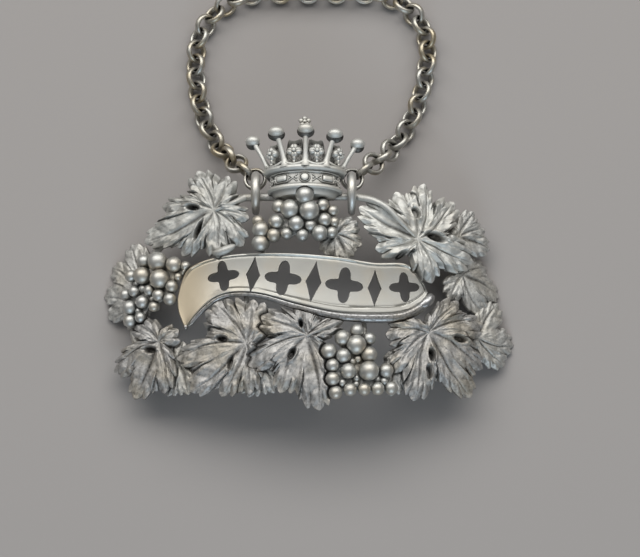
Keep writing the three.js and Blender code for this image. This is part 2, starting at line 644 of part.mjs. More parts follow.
// Branch: the vine stem behind everything, a closed loop with a straight bar at the top for the rings
const BRANCH = [
  [-11.2, TOP_BAR_Y], [-5, TOP_BAR_Y], [3, TOP_BAR_Y], [9.4, TOP_BAR_Y], [14, 9.6], [21, 6.2], [27, 2],
  [30.5, -4.5], [31, -11.5], [27.5, -17.5], [20, -19.6], [10, -19.8], [0, -19], [-10, -19.6], [-20, -18.8],
  [-28, -16.4], [-31.2, -10.5], [-30.6, -3.4], [-27, 2.8], [-21, 7.4], [-15.4, 10.4],
];

// Twigs: each from the branch to the leaf or bunch it carries
const TWIGS = [
  [[21, 6.2], [19.4, 5.4], [18, 4]],
  [[30.5, -4.5], [28.6, -2.6], [27, -1.2]],
  [[27.5, -17.5], [24, -15.4], [19.9, -12.2]],
  [[0, -19], [-0.6, -16], [-0.2, -13.3], [0.4, -9.4]],
  [[-10, -19.6], [-10.6, -17], [-10.2, -14.5], [-10.6, -8.4], [-10.4, -5.6]],
  [[-28, -16.4], [-26.4, -15], [-25.2, -13.4]],
  [[10, -19.8], [9.2, -15], [9.4, -11.6], [9, -8.6]],
  [[-4, TOP_BAR_Y], [-3.4, 8], [-3.2, 4.2]],
  [[-3.4, 8], [-6, 5.6], [-7.6, 3.4], [-7.8, 0.6]],
  [[3, TOP_BAR_Y], [3.4, 8], [4.6, 4.6], [6.4, -0.4]],
];

function branchSolid() {
  const level = (points) => points.map(([s, y]) => [s, y, BRANCH_RADIUS]);
  const half = Math.floor(BRANCH.length / 2);
  const stems = [
    stem(level(BRANCH.slice(0, half + 1)), BRANCH_RADIUS, 15),
    stem(level([...BRANCH.slice(half), BRANCH[0]]), BRANCH_RADIUS, 15),
    ...TWIGS.map((twig) => stem(level(twig), TWIG_RADIUS, 3, 4)),
  ];
  const wood = stems.map((geometry) => solid(bent(geometry)));
  return joined([...wood, ...SPRIG_LEAVES.map(sprigSolid)]);
}

// One link of the chain: an oval wire turned round its own axis.
function linkGeometry() {
  const section = Array.from({ length: 6 }, (_, k) => {
    const turn = (k / 5) * 2 * Math.PI;
    return new THREE.Vector2(LINK_RADIUS + LINK_WIRE[0] * Math.cos(turn), LINK_WIRE[1] * Math.sin(turn));
  });
  section[5].copy(section[0]);
  return new THREE.LatheGeometry(section, 10);
}

// A suspension ring standing across the branch, its wire a little thinner at the foot.
function ringGeometry(grown = 0) {
  const [segments, sides] = [18, 6];
  const rings = Array.from({ length: segments }, (_, i) => {
    const turn = (i / segments) * 2 * Math.PI;
    const wire = RING_WIRE * (0.9 + 0.1 * Math.cos(turn - Math.PI / 3)) + grown;
    return Array.from({ length: sides }, (_, k) => {
      const round = ((k + 0.5) / sides) * 2 * Math.PI;
      const r = RING_RADIUS + wire * Math.cos(round);
      return [-wire * Math.sin(round), r * Math.cos(turn), r * Math.sin(turn)];
    });
  });
  return skin(rings, true);
}

// Where a ring turns on its branch, on the left (-1) or the right (1). Both turn about one line.
function ringPivot(side) {
  const angle = RING_SPREAD / 2 / BODY_RADIUS;
  const height = (BODY_RADIUS + BRANCH_RADIUS) * Math.cos(angle) - BODY_RADIUS;
  return new THREE.Vector3(RING_MIDDLE_X + (side * RING_SPREAD) / 2, TOP_BAR_Y, height);
}

// The room that a ring needs as it swings, with its play.
function ringRoom(side) {
  const steps = 7;
  const swept = Array.from({ length: steps + 1 }, (_, k) => {
    const turned = THREE.MathUtils.lerp(...RING_SWING, k / steps);
    const hung = ringGeometry(RING_PLAY).translate(0, RING_HANG * Math.cos(radians(RING_DROOP)), 0);
    const geometry = hung.translate(0, 0, RING_HANG * Math.sin(radians(RING_DROOP)));
    return solid(geometry.rotateX(radians(turned)).translate(...ringPivot(side)));
  });
  return joined(swept);
}

// Height of a link's middle when it lies on the table, rolled over by 45 degrees.
const LYING = LINK_RADIUS * Math.SQRT1_2 + Math.hypot(...LINK_WIRE) * Math.SQRT1_2;
const smooth = (t) => THREE.MathUtils.smoothstep(t, 0, 1);

// Middles of the left side's links, from the ring to the top of the loop, about a middle line at x = 0.
function chainPath(start) {
  const along = (corner) => {
    const points = [start.clone()];
    for (let k = 1; k < LINKS_A_SIDE; k++) {
      const last = points.at(-1);
      const z = LYING + (start.z - LYING) * (1 - smooth(k / CHAIN_SETTLES));
      const flat = Math.sqrt(LINK_PITCH ** 2 - (z - last.z) ** 2);
      const outward = (CHAIN_SPREAD + CHAIN_CLOSING) * (1 - smooth(k / 15)) - CHAIN_CLOSING;
      const turn = THREE.MathUtils.clamp((k - corner) / CHAIN_CORNER, 0, 1);
      const heading = radians(THREE.MathUtils.lerp(outward, -90, turn));
      const [x, y] = [last.x - flat * Math.sin(heading), last.y + flat * Math.cos(heading)];
      points.push(new THREE.Vector3(x, y, z));
    }
    return points;
  };
  let [early, late] = [1, LINKS_A_SIDE];
  for (let i = 0; i < 60; i++) {
    const guess = (early + late) / 2;
    if (along(guess).at(-1).x > -LINK_PITCH / 2) early = guess;
    else late = guess;
  }
  return along(early);
}

// Turns a link so that it lies along one direction and is rolled about it by an angle from the level.
function linkFrame(along, roll) {
  const t = along.clone().normalize();
  const side = new THREE.Vector3(-t.y, t.x, 0).normalize();
  const up = new THREE.Vector3().crossVectors(t, side);
  const across = side.multiplyScalar(Math.cos(roll)).addScaledVector(up, Math.sin(roll));
  const axis = new THREE.Vector3().crossVectors(across, t);
  return new THREE.Matrix4().makeBasis(t, axis, new THREE.Vector3().crossVectors(t, axis));
}

function piece(name, geometry, look) {
  const mesh = new THREE.Mesh(geometry, new THREE.MeshStandardMaterial(look));
  mesh.name = name;
  geometry.computeVertexNormals();
  return mesh;
}

// The label itself, built bent and then set down with its two ends on the table
function labelSolids() {
  const scroll = scrollRoom();
  const room = Object.fromEntries(Object.entries(LEAVES).map(([name, leaf]) => [name, leafRoom(leaf)]));
  const bunch = Object.fromEntries(Object.entries(BUNCHES).map(([name, spec]) => [name, bunchRoom(spec)]));
  // What lies over each piece, and so is cut away from it
  const over = {
    leaf_upper_left: [],
    leaf_upper_right: [],
    leaf_lower_right: [scroll, bunch.grapes_right],
    leaf_lower_middle: [scroll, bunch.grapes_right],
    leaf_lower_left_inner: [scroll, room.leaf_lower_middle],
    leaf_lower_left: [room.leaf_lower_left_inner, bunch.grapes_left],
  };
  const cut = (body, rooms) => rooms.reduce((rest, space) => rest.subtract(space), body);
  const made = {
    vine_branch: branchSolid(),
    scroll: cut(scrollSolid(), [room.leaf_upper_left, room.leaf_upper_right]),
    coronet: cut(coronetSolid(), [bunch.grapes_middle, ringRoom(-1), ringRoom(1)]),
    grapes_left: cut(bunchSolid(BUNCHES.grapes_left), [scroll, room.leaf_upper_left]),
    grapes_middle: cut(bunchSolid(BUNCHES.grapes_middle), [scroll]),
    grapes_right: cut(bunchSolid(BUNCHES.grapes_right), [scroll]),
  };
  for (const [name, leaf] of Object.entries(LEAVES)) made[name] = cut(leafSolid(leaf), over[name]);
  return made;
}

function label() {
  const made = labelSolids();
  const lowest = Math.min(...Object.values(made).map((body) => body.boundingBox().min[2]));
  const table = lowest + REST_FLAT;
  const under = new THREE.BoxGeometry(ALL_ROUND, ALL_ROUND, ALL_ROUND);
  const below = solid(under.translate(0, 0, table - ALL_ROUND / 2));
  const group = new THREE.Group();
  for (const [name, body] of Object.entries(made)) {
    const look = name === "scroll" ? POLISHED : SILVER;
    group.add(piece(name, geometryOf(body.subtract(below)), look));
  }
  group.position.z = -table;
  return group;
}

// The two rings on the branch's top bar, and the two sides of the chain
function chain(labelGroup) {
  const group = new THREE.Group();
  const pivot = ringPivot(1).add(labelGroup.position);
  const droop = radians(RING_DROOP);
  const hung = new THREE.Vector3(0, Math.cos(droop), Math.sin(droop)).multiplyScalar(RING_HANG);
  const ringMiddle = pivot.clone().add(hung);
  const attach = radians(CHAIN_ATTACH);
  const outwards = new THREE.Vector3(0, Math.cos(attach), Math.sin(attach));
  const hold = LINK_RADIUS - LINK_WIRE[0] - RING_WIRE - RING_PLAY - FIRST_LINK_PLAY;
  const first = ringMiddle.clone().addScaledVector(outwards, RING_RADIUS + hold);
  first.x = -RING_SPREAD / 2 - 0.17;
  const path = chainPath(first);
  const lean = (x, y) => RING_MIDDLE_X + x + CHAIN_LEAN * (y - first.y);

  for (const [side, flip] of [["left", 1], ["right", -1]]) {
    const ring = piece("ring_" + side, ringGeometry(), SILVER);
    ring.position.set(RING_MIDDLE_X - (flip * RING_SPREAD) / 2, ringMiddle.y, ringMiddle.z);
    ring.userData.hinge = [ring.position.x, pivot.y, pivot.z];
    group.add(ring);
    const middles = path.map(({ x, y, z }) => new THREE.Vector3(lean(flip * x, y), y, z));
    for (let k = 0; k < LINKS_A_SIDE; k++) {
      const before = k === 0 ? ring.position : middles[k - 1];
      const after = middles[k + 1] ?? middles[k].clone().add(new THREE.Vector3(flip * LINK_PITCH, 0, 0));
      const along = k === 0 ? middles[1].clone().sub(middles[0]) : after.clone().sub(before);
      const roll = (k % 2 === 0 ? 0 : Math.PI / 2) + (Math.PI / 4) * smooth(k / 6);
      const name = `chain_${side}_${String(k + 1).padStart(2, "0")}`;
      const link = piece(name, linkGeometry(), DARK_SILVER);
      link.applyMatrix4(linkFrame(along, roll));
      link.position.copy(middles[k]);
      const onRing = ringMiddle.clone().addScaledVector(outwards, RING_RADIUS);
      const joint = k === 0 ? onRing : before.clone().lerp(middles[k], 0.5);
      link.userData.hinge = [middles[k].x, joint.y, joint.z];
      group.add(link);
    }
  }
  return group;
}

const body = label();
const assembly = new THREE.Group();
assembly.add(body, chain(body));
const footprint = new THREE.Box3().setFromObject(assembly, true);
const middle = footprint.getCenter(new THREE.Vector3());
assembly.position.set(-middle.x, -middle.y, 0);

const root = new THREE.Group();
root.add(assembly);

export default root;
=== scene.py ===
"""Dresses a cast silver decanter label: vine leaves, grapes, a pierced scroll, a coronet and its chain.

The label is laid out flat in millimetres, as s along the sheet, y up the label and h out of its face. Every
piece is then bent round the decanter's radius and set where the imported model's joints say.
"""
import json
import logging
import math
from dataclasses import dataclass, field
from enum import Enum

import bmesh
import bpy
import numpy as np
from mathutils import Matrix, Vector


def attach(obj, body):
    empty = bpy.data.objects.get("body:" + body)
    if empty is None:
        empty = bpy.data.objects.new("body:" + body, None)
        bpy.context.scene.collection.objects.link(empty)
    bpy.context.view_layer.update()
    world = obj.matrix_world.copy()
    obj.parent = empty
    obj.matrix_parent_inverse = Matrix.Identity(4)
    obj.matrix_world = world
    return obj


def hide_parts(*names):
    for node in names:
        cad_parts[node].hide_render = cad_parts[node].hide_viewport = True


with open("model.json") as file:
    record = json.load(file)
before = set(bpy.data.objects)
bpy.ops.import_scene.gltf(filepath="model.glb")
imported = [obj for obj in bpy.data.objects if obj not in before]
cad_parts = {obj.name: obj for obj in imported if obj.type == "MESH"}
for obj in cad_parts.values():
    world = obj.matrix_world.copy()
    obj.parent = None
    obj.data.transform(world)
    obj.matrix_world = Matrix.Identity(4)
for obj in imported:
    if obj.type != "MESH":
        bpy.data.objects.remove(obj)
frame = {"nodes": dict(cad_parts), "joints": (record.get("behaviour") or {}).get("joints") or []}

MM = 0.001
Value = float | np.ndarray
Colour = tuple[float, float, float]
Point = tuple[float, float, float]
UP = np.array([0, 1.0, 0])
log = logging.getLogger("decanter_label")


def smooth(low: float, high: float, x: np.ndarray) -> np.ndarray:
    """Rises smoothly from 0 at low to 1 at high.

    Args:
        low: where the rise starts; it may lie above high, and the rise is then a fall.
        high: where it ends.
        x: the values to look up.

    Returns:
        The values between 0 and 1.
    """
    t = np.clip((x - low) / (high - low), 0, 1)
    return t * t * (3 - 2 * t)


def ridge(x: np.ndarray, middle: float, width: Value) -> np.ndarray:
    """A soft ridge, 1 high at its middle and gone at about twice its width from it.

    Args:
        x: the values to look up.
        middle: where the ridge stands.
        width: how wide it is.

    Returns:
        Its height at x.
    """
    return np.exp(-(((x - middle) / width) ** 2))


def circle(count: int) -> np.ndarray:
    """Angles of points that stand evenly round a circle.

    Args:
        count: how many points there are.

    Returns:
        The angles in radians, from 0.
    """
    return np.linspace(0, 2 * math.pi, count, endpoint=False)


def headings(path: np.ndarray) -> np.ndarray:
    """Unit vectors along a path.

    Args:
        path: n by 2 (or 3) array of points.

    Returns:
        One vector for each point.
    """
    heading = np.gradient(path, axis=0)
    return heading / np.linalg.norm(heading, axis=1)[:, None]


def squared(x: np.ndarray, power: float) -> np.ndarray:
    """Bends a sine or cosine, so that the round that it draws gets fuller or hollow sides.

    Args:
        x: its values.
        power: 1 leaves it round, less makes it fuller, more hollows it.

    Returns:
        The new values, with their signs kept.
    """
    return np.sign(x) * np.abs(x) ** power


def spaced(points: list[tuple[float, ...]], count: int) -> np.ndarray:
    """Evenly spaced points along a smooth curve through some others.

    Args:
        points: what the curve goes through.
        count: how many points to return.

    Returns:
        A count by 2 (or 3) array, ends included.
    """
    p = np.array(points, float)
    p = np.vstack([2 * p[0] - p[1], p, 2 * p[-1] - p[-2]])
    t = np.linspace(0, 1, 24, endpoint=False)[:, None]
    runs = []
    for a, b, c, d in zip(p, p[1:], p[2:], p[3:]):
        straight = 2 * b + (c - a) * t
        runs.append(0.5 * (straight + (2 * a - 5 * b + 4 * c - d) * t**2 + (3 * b - a - 3 * c + d) * t**3))
    fine = np.vstack([*runs, p[-2:-1]])
    length = np.concatenate([[0], np.cumsum(np.linalg.norm(np.diff(fine, axis=0), axis=1))])
    at = np.linspace(0, length[-1], count)
    return np.stack([np.interp(at, length, fine[:, k]) for k in range(fine.shape[1])], axis=1)


def eased(x: np.ndarray, knots: tuple[float, ...], values: tuple[float, ...]) -> np.ndarray:
    """Goes from value to value, slowing down at each.

    Args:
        x: what to look up.
        knots: where the values hold, rising.
        values: one for each knot.

    Returns:
        The values at x.
    """
    result = np.full(np.shape(x), float(values[0]))
    for a, b, low, high in zip(knots, knots[1:], values, values[1:]):
        result = result + (high - low) * smooth(a, b, x)
    return result


@dataclass(frozen=True)
class Sheet:
    """The bent sheet that the label is laid out on, and where it lies in the frame."""

    radius: float = 64.0
    bar_y: float = 11.4
    branch_radius: float = 0.8
    ring_spread: float = 16.5
    ring_middle: float = -0.85

    def origin(self) -> np.ndarray:
        """Where the layout's zero lies in the frame, found from the two rings' pivots.

        Returns:
            The point, in metres.
        """
        pivots = {j["name"]: np.array(j["pos_m"]) for j in frame["joints"]}
        middle = (pivots["ring_left_hinge"] + pivots["ring_right_hinge"]) / 2
        half = self.ring_spread / 2 / self.radius
        height = (self.radius + self.branch_radius) * math.cos(half) - self.radius
        return middle - MM * np.array([self.ring_middle, self.bar_y, height])

    def place(self, layout: np.ndarray) -> np.ndarray:
        """Bends layout points and moves them to the frame.

        Args:
            layout: n by 3 array of s, y and h in millimetres.

        Returns:
            n by 3 array of points in metres, none of them below the table.
        """
        s, y, h = layout.T
        r, turn = self.radius + h, s / self.radius
        bent = np.stack([r * np.sin(turn), y, r * np.cos(turn) - self.radius], axis=1)
        placed = bent * MM + self.origin()
        placed[:, 2] = np.maximum(placed[:, 2], 0)
        return placed


SHEET = Sheet()
SEAT = 1.72  # height over the sheet at which what lies over the branch starts
FALL = 0.4  # width of the slope by which a surface goes under its cover
KEPT = 0.12  # share of its thickness that a surface keeps there, so that it stays a closed body


@dataclass(frozen=True)
class Outline:
    """A closed outline on the sheet, under which another piece dives."""

    points: np.ndarray

    def distance(self, at: np.ndarray) -> np.ndarray:
        """Signed distance from points to the outline.

        Args:
            at: n by 2 array of s and y.

        Returns:
            n distances in millimetres, negative inside.
        """
        a, b = self.points, np.roll(self.points, -1, axis=0)
        edge = b - a
        best = np.full(len(at), 1e9)
        inside = np.zeros(len(at), bool)
        for (ax, ay), (ex, ey) in zip(a, edge):
            px, py = at[:, 0] - ax, at[:, 1] - ay
            t = np.clip((px * ex + py * ey) / max(ex * ex + ey * ey, 1e-12), 0, 1)
            best = np.minimum(best, np.hypot(px - t * ex, py - t * ey))
            crosses = ((py < 0) != (py - ey < 0)) & (px < py * ex / (ey if ey else 1e-12))
            inside ^= crosses
        return np.where(inside, -best, best)


@dataclass(frozen=True)
class Rounds:
    """A group of round outlines, such as a bunch of grapes seen from the front."""

    circles: np.ndarray

    def distance(self, at: np.ndarray) -> np.ndarray:
        """Signed distance from points to the nearest circle.

        Args:
            at: n by 2 array of s and y.

        Returns:
            n distances in millimetres, negative inside.
        """
        best = np.full(len(at), 1e9)
        for s, y, r in self.circles:
            best = np.minimum(best, np.hypot(at[:, 0] - s, at[:, 1] - y) - r)
        return best


Cover = Outline | Rounds


def dive(layout: np.ndarray, covers: list[Cover], depth: float, margin: float = 0.35) -> np.ndarray:
    """Lowers what lies under other pieces.

    Args:
        layout: n by 3 array of s, y and h.
        covers: outlines of the pieces that lie over this one.
        depth: the height that nothing under a cover rises above.
        margin: how far outside a cover's outline the surface starts to fall.

    Returns:
        The lowered points.
    """
    low = layout.copy()
    for cover in covers:
        near = smooth(margin, margin - FALL, cover.distance(layout[:, :2]))
        pressed = np.minimum(low[:, 2], depth + KEPT * (low[:, 2] - depth))
        low[:, 2] += near * (pressed - low[:, 2])
    return low


class Shell:
    """Gathers closed skins into one mesh. Each point's recess value says how dark its colour is made there:
    oxide in the hollows, and painted shade in some places.
    """

    def __init__(self) -> None:
        """Starts with nothing in it."""
        self.points: list[np.ndarray] = []
        self.faces: list[tuple[int, ...]] = []
        self.recess: list[np.ndarray] = []
        self.count = 0

    def add(self, points: np.ndarray, faces: list[tuple[int, ...]], recess: np.ndarray) -> None:
        """Adds one closed skin.

        Args:
            points: n by 3 array.
            faces: tuples of point numbers.
            recess: n values.
        """
        self.points.append(points)
        self.faces += [tuple(k + self.count for k in face) for face in faces]
        self.recess.append(recess)
        self.count += len(points)

    def rows(self, rows: np.ndarray, recess: Value = 0.0) -> None:
        """Adds the skin over rows of points that each close on themselves. Fans close its two ends.

        Args:
            rows: i by j by 3 array.
            recess: one value, or an array that fits i by j.
        """
        count, around = rows.shape[:2]
        shade = np.broadcast_to(np.asarray(recess, float), (count, around)).reshape(-1)
        after = [(j + 1) % around for j in range(around)]
        faces = []
        for i in range(count - 1):
            a, b = i * around, (i + 1) * around
            faces += [(a + j, a + k, b + k, b + j) for j, k in enumerate(after)]
        points = np.vstack([rows.reshape(-1, 3), rows[0].mean(axis=0), rows[-1].mean(axis=0)])
        last, first = (count - 1) * around, count * around
        faces += [(first, k, j) for j, k in enumerate(after)]
        faces += [(first + 1, last + j, last + k) for j, k in enumerate(after)]
        self.add(points, faces, np.concatenate([shade, [shade[0], shade[-1]]]))

    def ball(self, centre: np.ndarray | Point, size: Point, sides: int, recess: float = 0.0) -> None:
        """Adds an ellipsoid.

        Args:
            centre: its middle.
            size: its three half widths.
            sides: faces round it.
            recess: how dark it is.
        """
        up = np.linspace(0, math.pi, sides // 2 + 1)[1:-1, None]
        turn = circle(sides)
        rows = np.zeros((len(up), sides, 3))
        rows[..., 0] = np.sin(up) * np.cos(turn)
        rows[..., 1] = np.cos(up)
        rows[..., 2] = np.sin(up) * np.sin(turn)
        self.rows(rows * np.array(size) + np.array(centre), recess)

    def tube(self, path: np.ndarray, radii: np.ndarray, sides: int, recess: float = 0.0,
             flat: float = 1.0) -> None:
        """Adds a round bar along a path.

        Args:
            path: n by 3 array of points.
            radii: n radii.
            sides: points round it.
            recess: how dark it is.
            flat: its height as a share of its width.
        """
        heading = headings(path)
        side = np.cross(heading, [0, 0, 1.0])
        side /= np.maximum(np.linalg.norm(side, axis=1), 1e-9)[:, None]
        up = np.cross(side, heading)
        turn = circle(sides)[None, :, None]
        rows = path[:, None] + radii[:, None, None] * (
            np.cos(turn) * side[:, None] + flat * np.sin(turn) * up[:, None])
        self.rows(rows, recess)

    def take(self, other: "Shell") -> None:
        """Adds all that another shell holds."""
        self.add(other.layout(), other.faces, np.concatenate(other.recess))

    def layout(self) -> np.ndarray:
        """All points in one array."""
        return np.vstack(self.points)

    def mesh(self, name: str, points: np.ndarray) -> bpy.types.Object:
        """Makes the Blender object.

        Args:
            name: the piece's name.
            points: where its points are, in metres.

        Returns:
            The object, at the origin, with outward faces. Its UV map holds each point's s and y.
        """
        mesh = bpy.data.meshes.new(name)
        mesh.from_pydata(points.tolist(), [], self.faces)
        recess = mesh.attributes.new("recess", "FLOAT", "POINT")
        recess.data.foreach_set("value", np.concatenate(self.recess).astype(np.float32))
        sheet = self.layout()[:, :2]
        corners = np.zeros(len(mesh.loops), np.int32)
        mesh.loops.foreach_get("vertex_index", corners)
        mesh.uv_layers.new(name="sheet").data.foreach_set("uv", sheet[corners].astype(np.float32).ravel())
        shape = bmesh.new()
        shape.from_mesh(mesh)
        bmesh.ops.recalc_face_normals(shape, faces=shape.faces)
        shape.to_mesh(mesh)
        shape.free()
        mesh.shade_smooth()
        return linked(name, mesh)


def linked(name: str, data: bpy.types.ID) -> bpy.types.Object:
    """Puts a new object with some data in the scene.

    Args:
        name: the object's name.
        data: its mesh, curve, light or camera.

    Returns:
        The object.
    """
    piece = bpy.data.objects.new(name, data)
    bpy.context.scene.collection.objects.link(piece)
    return piece


def vertices(mesh: bpy.types.Mesh) -> np.ndarray:
    """Reads a mesh's vertices.

    Args:
        mesh: the mesh.

    Returns:
        n by 3 array, in metres.
    """
    points = np.zeros(len(mesh.vertices) * 3)
    mesh.vertices.foreach_get("co", points)
    return points.reshape(-1, 3)


class Links:
    """Short hand for adding nodes to a node tree and joining them."""

    def __init__(self, tree: bpy.types.NodeTree) -> None:
        """Works on one node tree."""
        self.tree = tree

    def add(self, kind: str, settings: dict | None = None, **inputs: object) -> bpy.types.Node:
        """Adds a node.

        Args:
            kind: the node's Blender type.
            settings: its properties by name.
            inputs: its sockets by name or, as _0 and so on, by number: a socket to join, or a value.

        Returns:
            The node.
        """
        node = self.tree.nodes.new(kind)
        for key, value in (settings or {}).items():
            setattr(node, key, value)
        for key, value in inputs.items():
            socket = node.inputs[int(key[1:]) if key[0] == "_" else key.replace("_", " ")]
            if isinstance(value, bpy.types.NodeSocket):
                self.tree.links.new(value, socket)
            else:
                socket.default_value = value
        return node

    def maths(self, operation: str, *values: object) -> bpy.types.NodeSocket:
        """A Math node's result.

        Args:
            operation: such as MULTIPLY.
            values: sockets or numbers.

        Returns:
            The result's socket.
        """
        inputs = {f"_{k}": value for k, value in enumerate(values)}
        return self.add("ShaderNodeMath", {"operation": operation}, **inputs).outputs[0]

    def ramp(self, value: bpy.types.NodeSocket, low: float, high: float, start: float = 0.0,
             end: float = 1.0) -> bpy.types.NodeSocket:
        """A value moved smoothly from one range to another.

        Args:
            value: the socket to read.
            low: start of the range it comes from.
            high: end of that range.
            start: result at low.
            end: result at high.

        Returns:
            The result's socket.
        """
        settings = {"interpolation_type": "SMOOTHSTEP"}
        node = self.add("ShaderNodeMapRange", settings, _0=value, _1=low, _2=high, _3=start, _4=end)
        return node.outputs[0]

    def noise(self, place: bpy.types.NodeSocket, scale: float, detail: float,
              roughness: float = 0.5) -> bpy.types.NodeSocket:
        """A noise texture's value.

        Args:
            place: socket of the coordinates.
            scale: how fine it is.
            detail: how many finer layers it has.
            roughness: how strong these are.

        Returns:
            The value's socket.
        """
        inputs = {"Vector": place, "Scale": scale, "Detail": detail, "Roughness": roughness}
        return self.add("ShaderNodeTexNoise", **inputs).outputs[0]

    def mix(self, factor: bpy.types.NodeSocket, first: object, second: object) -> bpy.types.NodeSocket:
        """A mix of two colours.

        Args:
            factor: socket of the share of the second.
            first: socket or colour.
            second: socket or colour.

        Returns:
            The mixed colour's socket.
        """
        node = self.add("ShaderNodeMix", {"data_type": "RGBA"}, _0=factor, _6=first, _7=second)
        return node.outputs[2]


def rgba(colour: Colour) -> tuple[float, float, float, float]:
    """Makes a colour opaque.

    Args:
        colour: red, green and blue.

    Returns:
        The same with an alpha of 1.
    """
    return (*colour, 1.0)


@dataclass(frozen=True)
class Silver:
    """One finish of the silver, from its bright surface to the oxide and the painted shade in its hollows."""

    name: str
    slot: str
    bright: Colour
    warm: Colour
    gloss: float
    oxide: Colour = (0.045, 0.042, 0.04)
    dull: float = 0.62
    warm_share: float = 0.4
    hollow: float = 0.9
    reach: float = 1.1
    grain: float = 0.16
    grain_depth: float = 0.012
    scratches: float = 0.0
    speckle: float = 0.0
    warm_end: tuple[float, float] | None = None

    def material(self) -> bpy.types.Material:
        """Builds the finish.

        Returns:
            A procedural material that reads the recess attribute and object coordinates.
        """
        made = bpy.data.materials.new(self.name)
        made.use_nodes = True
        nodes = Links(made.node_tree)
        shader = made.node_tree.nodes["Principled BSDF"]
        shader.inputs["Metallic"].default_value = 1.0
        place = nodes.add("ShaderNodeTexCoord").outputs["Object"]
        cloud = nodes.noise(place, 190.0, 3.0)
        blotch = nodes.noise(place, 900.0, 4.0, 0.65)
        fine = nodes.noise(place, 1 / (self.grain * MM), 3.0)
        warmth = nodes.maths("MULTIPLY", nodes.ramp(cloud, 0.42, 0.68), self.warm_share)
        if self.warm_end:
            sheet = nodes.add("ShaderNodeUVMap", {"uv_map": "sheet"}).outputs[0]
            run = nodes.add("ShaderNodeSeparateXYZ", Vector=sheet).outputs[0]
            warmth = nodes.maths("MAXIMUM", warmth, nodes.ramp(run, *self.warm_end, 1.0, 0.0))
        metal = nodes.mix(warmth, rgba(self.bright), rgba(self.warm))

        recess = nodes.add("ShaderNodeAttribute", {"attribute_name": "recess"}).outputs["Fac"]
        # Ambient occlusion darkens the colour in gaps, under parts and between them: painted shade, mixed
        # with the oxide that the recess attribute holds.
        near = nodes.add("ShaderNodeAmbientOcclusion", {"samples": 8}, Distance=self.reach * MM).outputs["AO"]
        shade = nodes.ramp(near, 0.88, 0.28, 0.0, self.hollow)
        broken = nodes.ramp(blotch, 0.25, 0.75, -0.16, 0.16)
        oxide_and_shade = nodes.maths("MAXIMUM", recess, shade)
        oxide_and_shade = nodes.maths("ADD", oxide_and_shade, nodes.maths("MULTIPLY", broken, recess))
        if self.speckle:
            dots = nodes.noise(place, 2600.0, 3.0, 0.6)
            oxide_and_shade = nodes.maths("ADD", oxide_and_shade, nodes.ramp(dots, 0.42, 0.66, -0.2 * self.speckle, self.speckle))
        oxide_and_shade = nodes.add("ShaderNodeClamp", Value=oxide_and_shade).outputs[0]
        # The metal is mixed towards the dark colour by the oxide and by the painted shade alike.
        made.node_tree.links.new(nodes.mix(oxide_and_shade, metal, rgba(self.oxide)), shader.inputs["Base Color"])

        rough = nodes.ramp(oxide_and_shade, 0.0, 0.8, self.gloss, self.dull)
        rough = nodes.maths("ADD", rough, nodes.ramp(blotch, 0.3, 0.7, -0.04, 0.04))
        made.node_tree.links.new(rough, shader.inputs["Roughness"])

        height = nodes.maths("MULTIPLY", fine, self.grain_depth)
        if self.scratches:
            drawn = {"Scale": (120.0, 2600.0, 400.0), "Rotation": (0, 0, 0.5)}
            long = nodes.add("ShaderNodeMapping", Vector=place, **drawn).outputs[0]
            wear = nodes.noise(long, 1.0, 2.0)
            height = nodes.maths("ADD", height, nodes.maths("MULTIPLY", wear, self.scratches))
        bump = nodes.add("ShaderNodeBump", Height=height, Distance=MM, Strength=1.0)
        made.node_tree.links.new(bump.outputs[0], shader.inputs["Normal"])
        return made


# Dark colour of the oxide, also used for the painted shade in gaps and under parts.
GREY_OXIDE_AND_SHADE = (0.07, 0.066, 0.062)


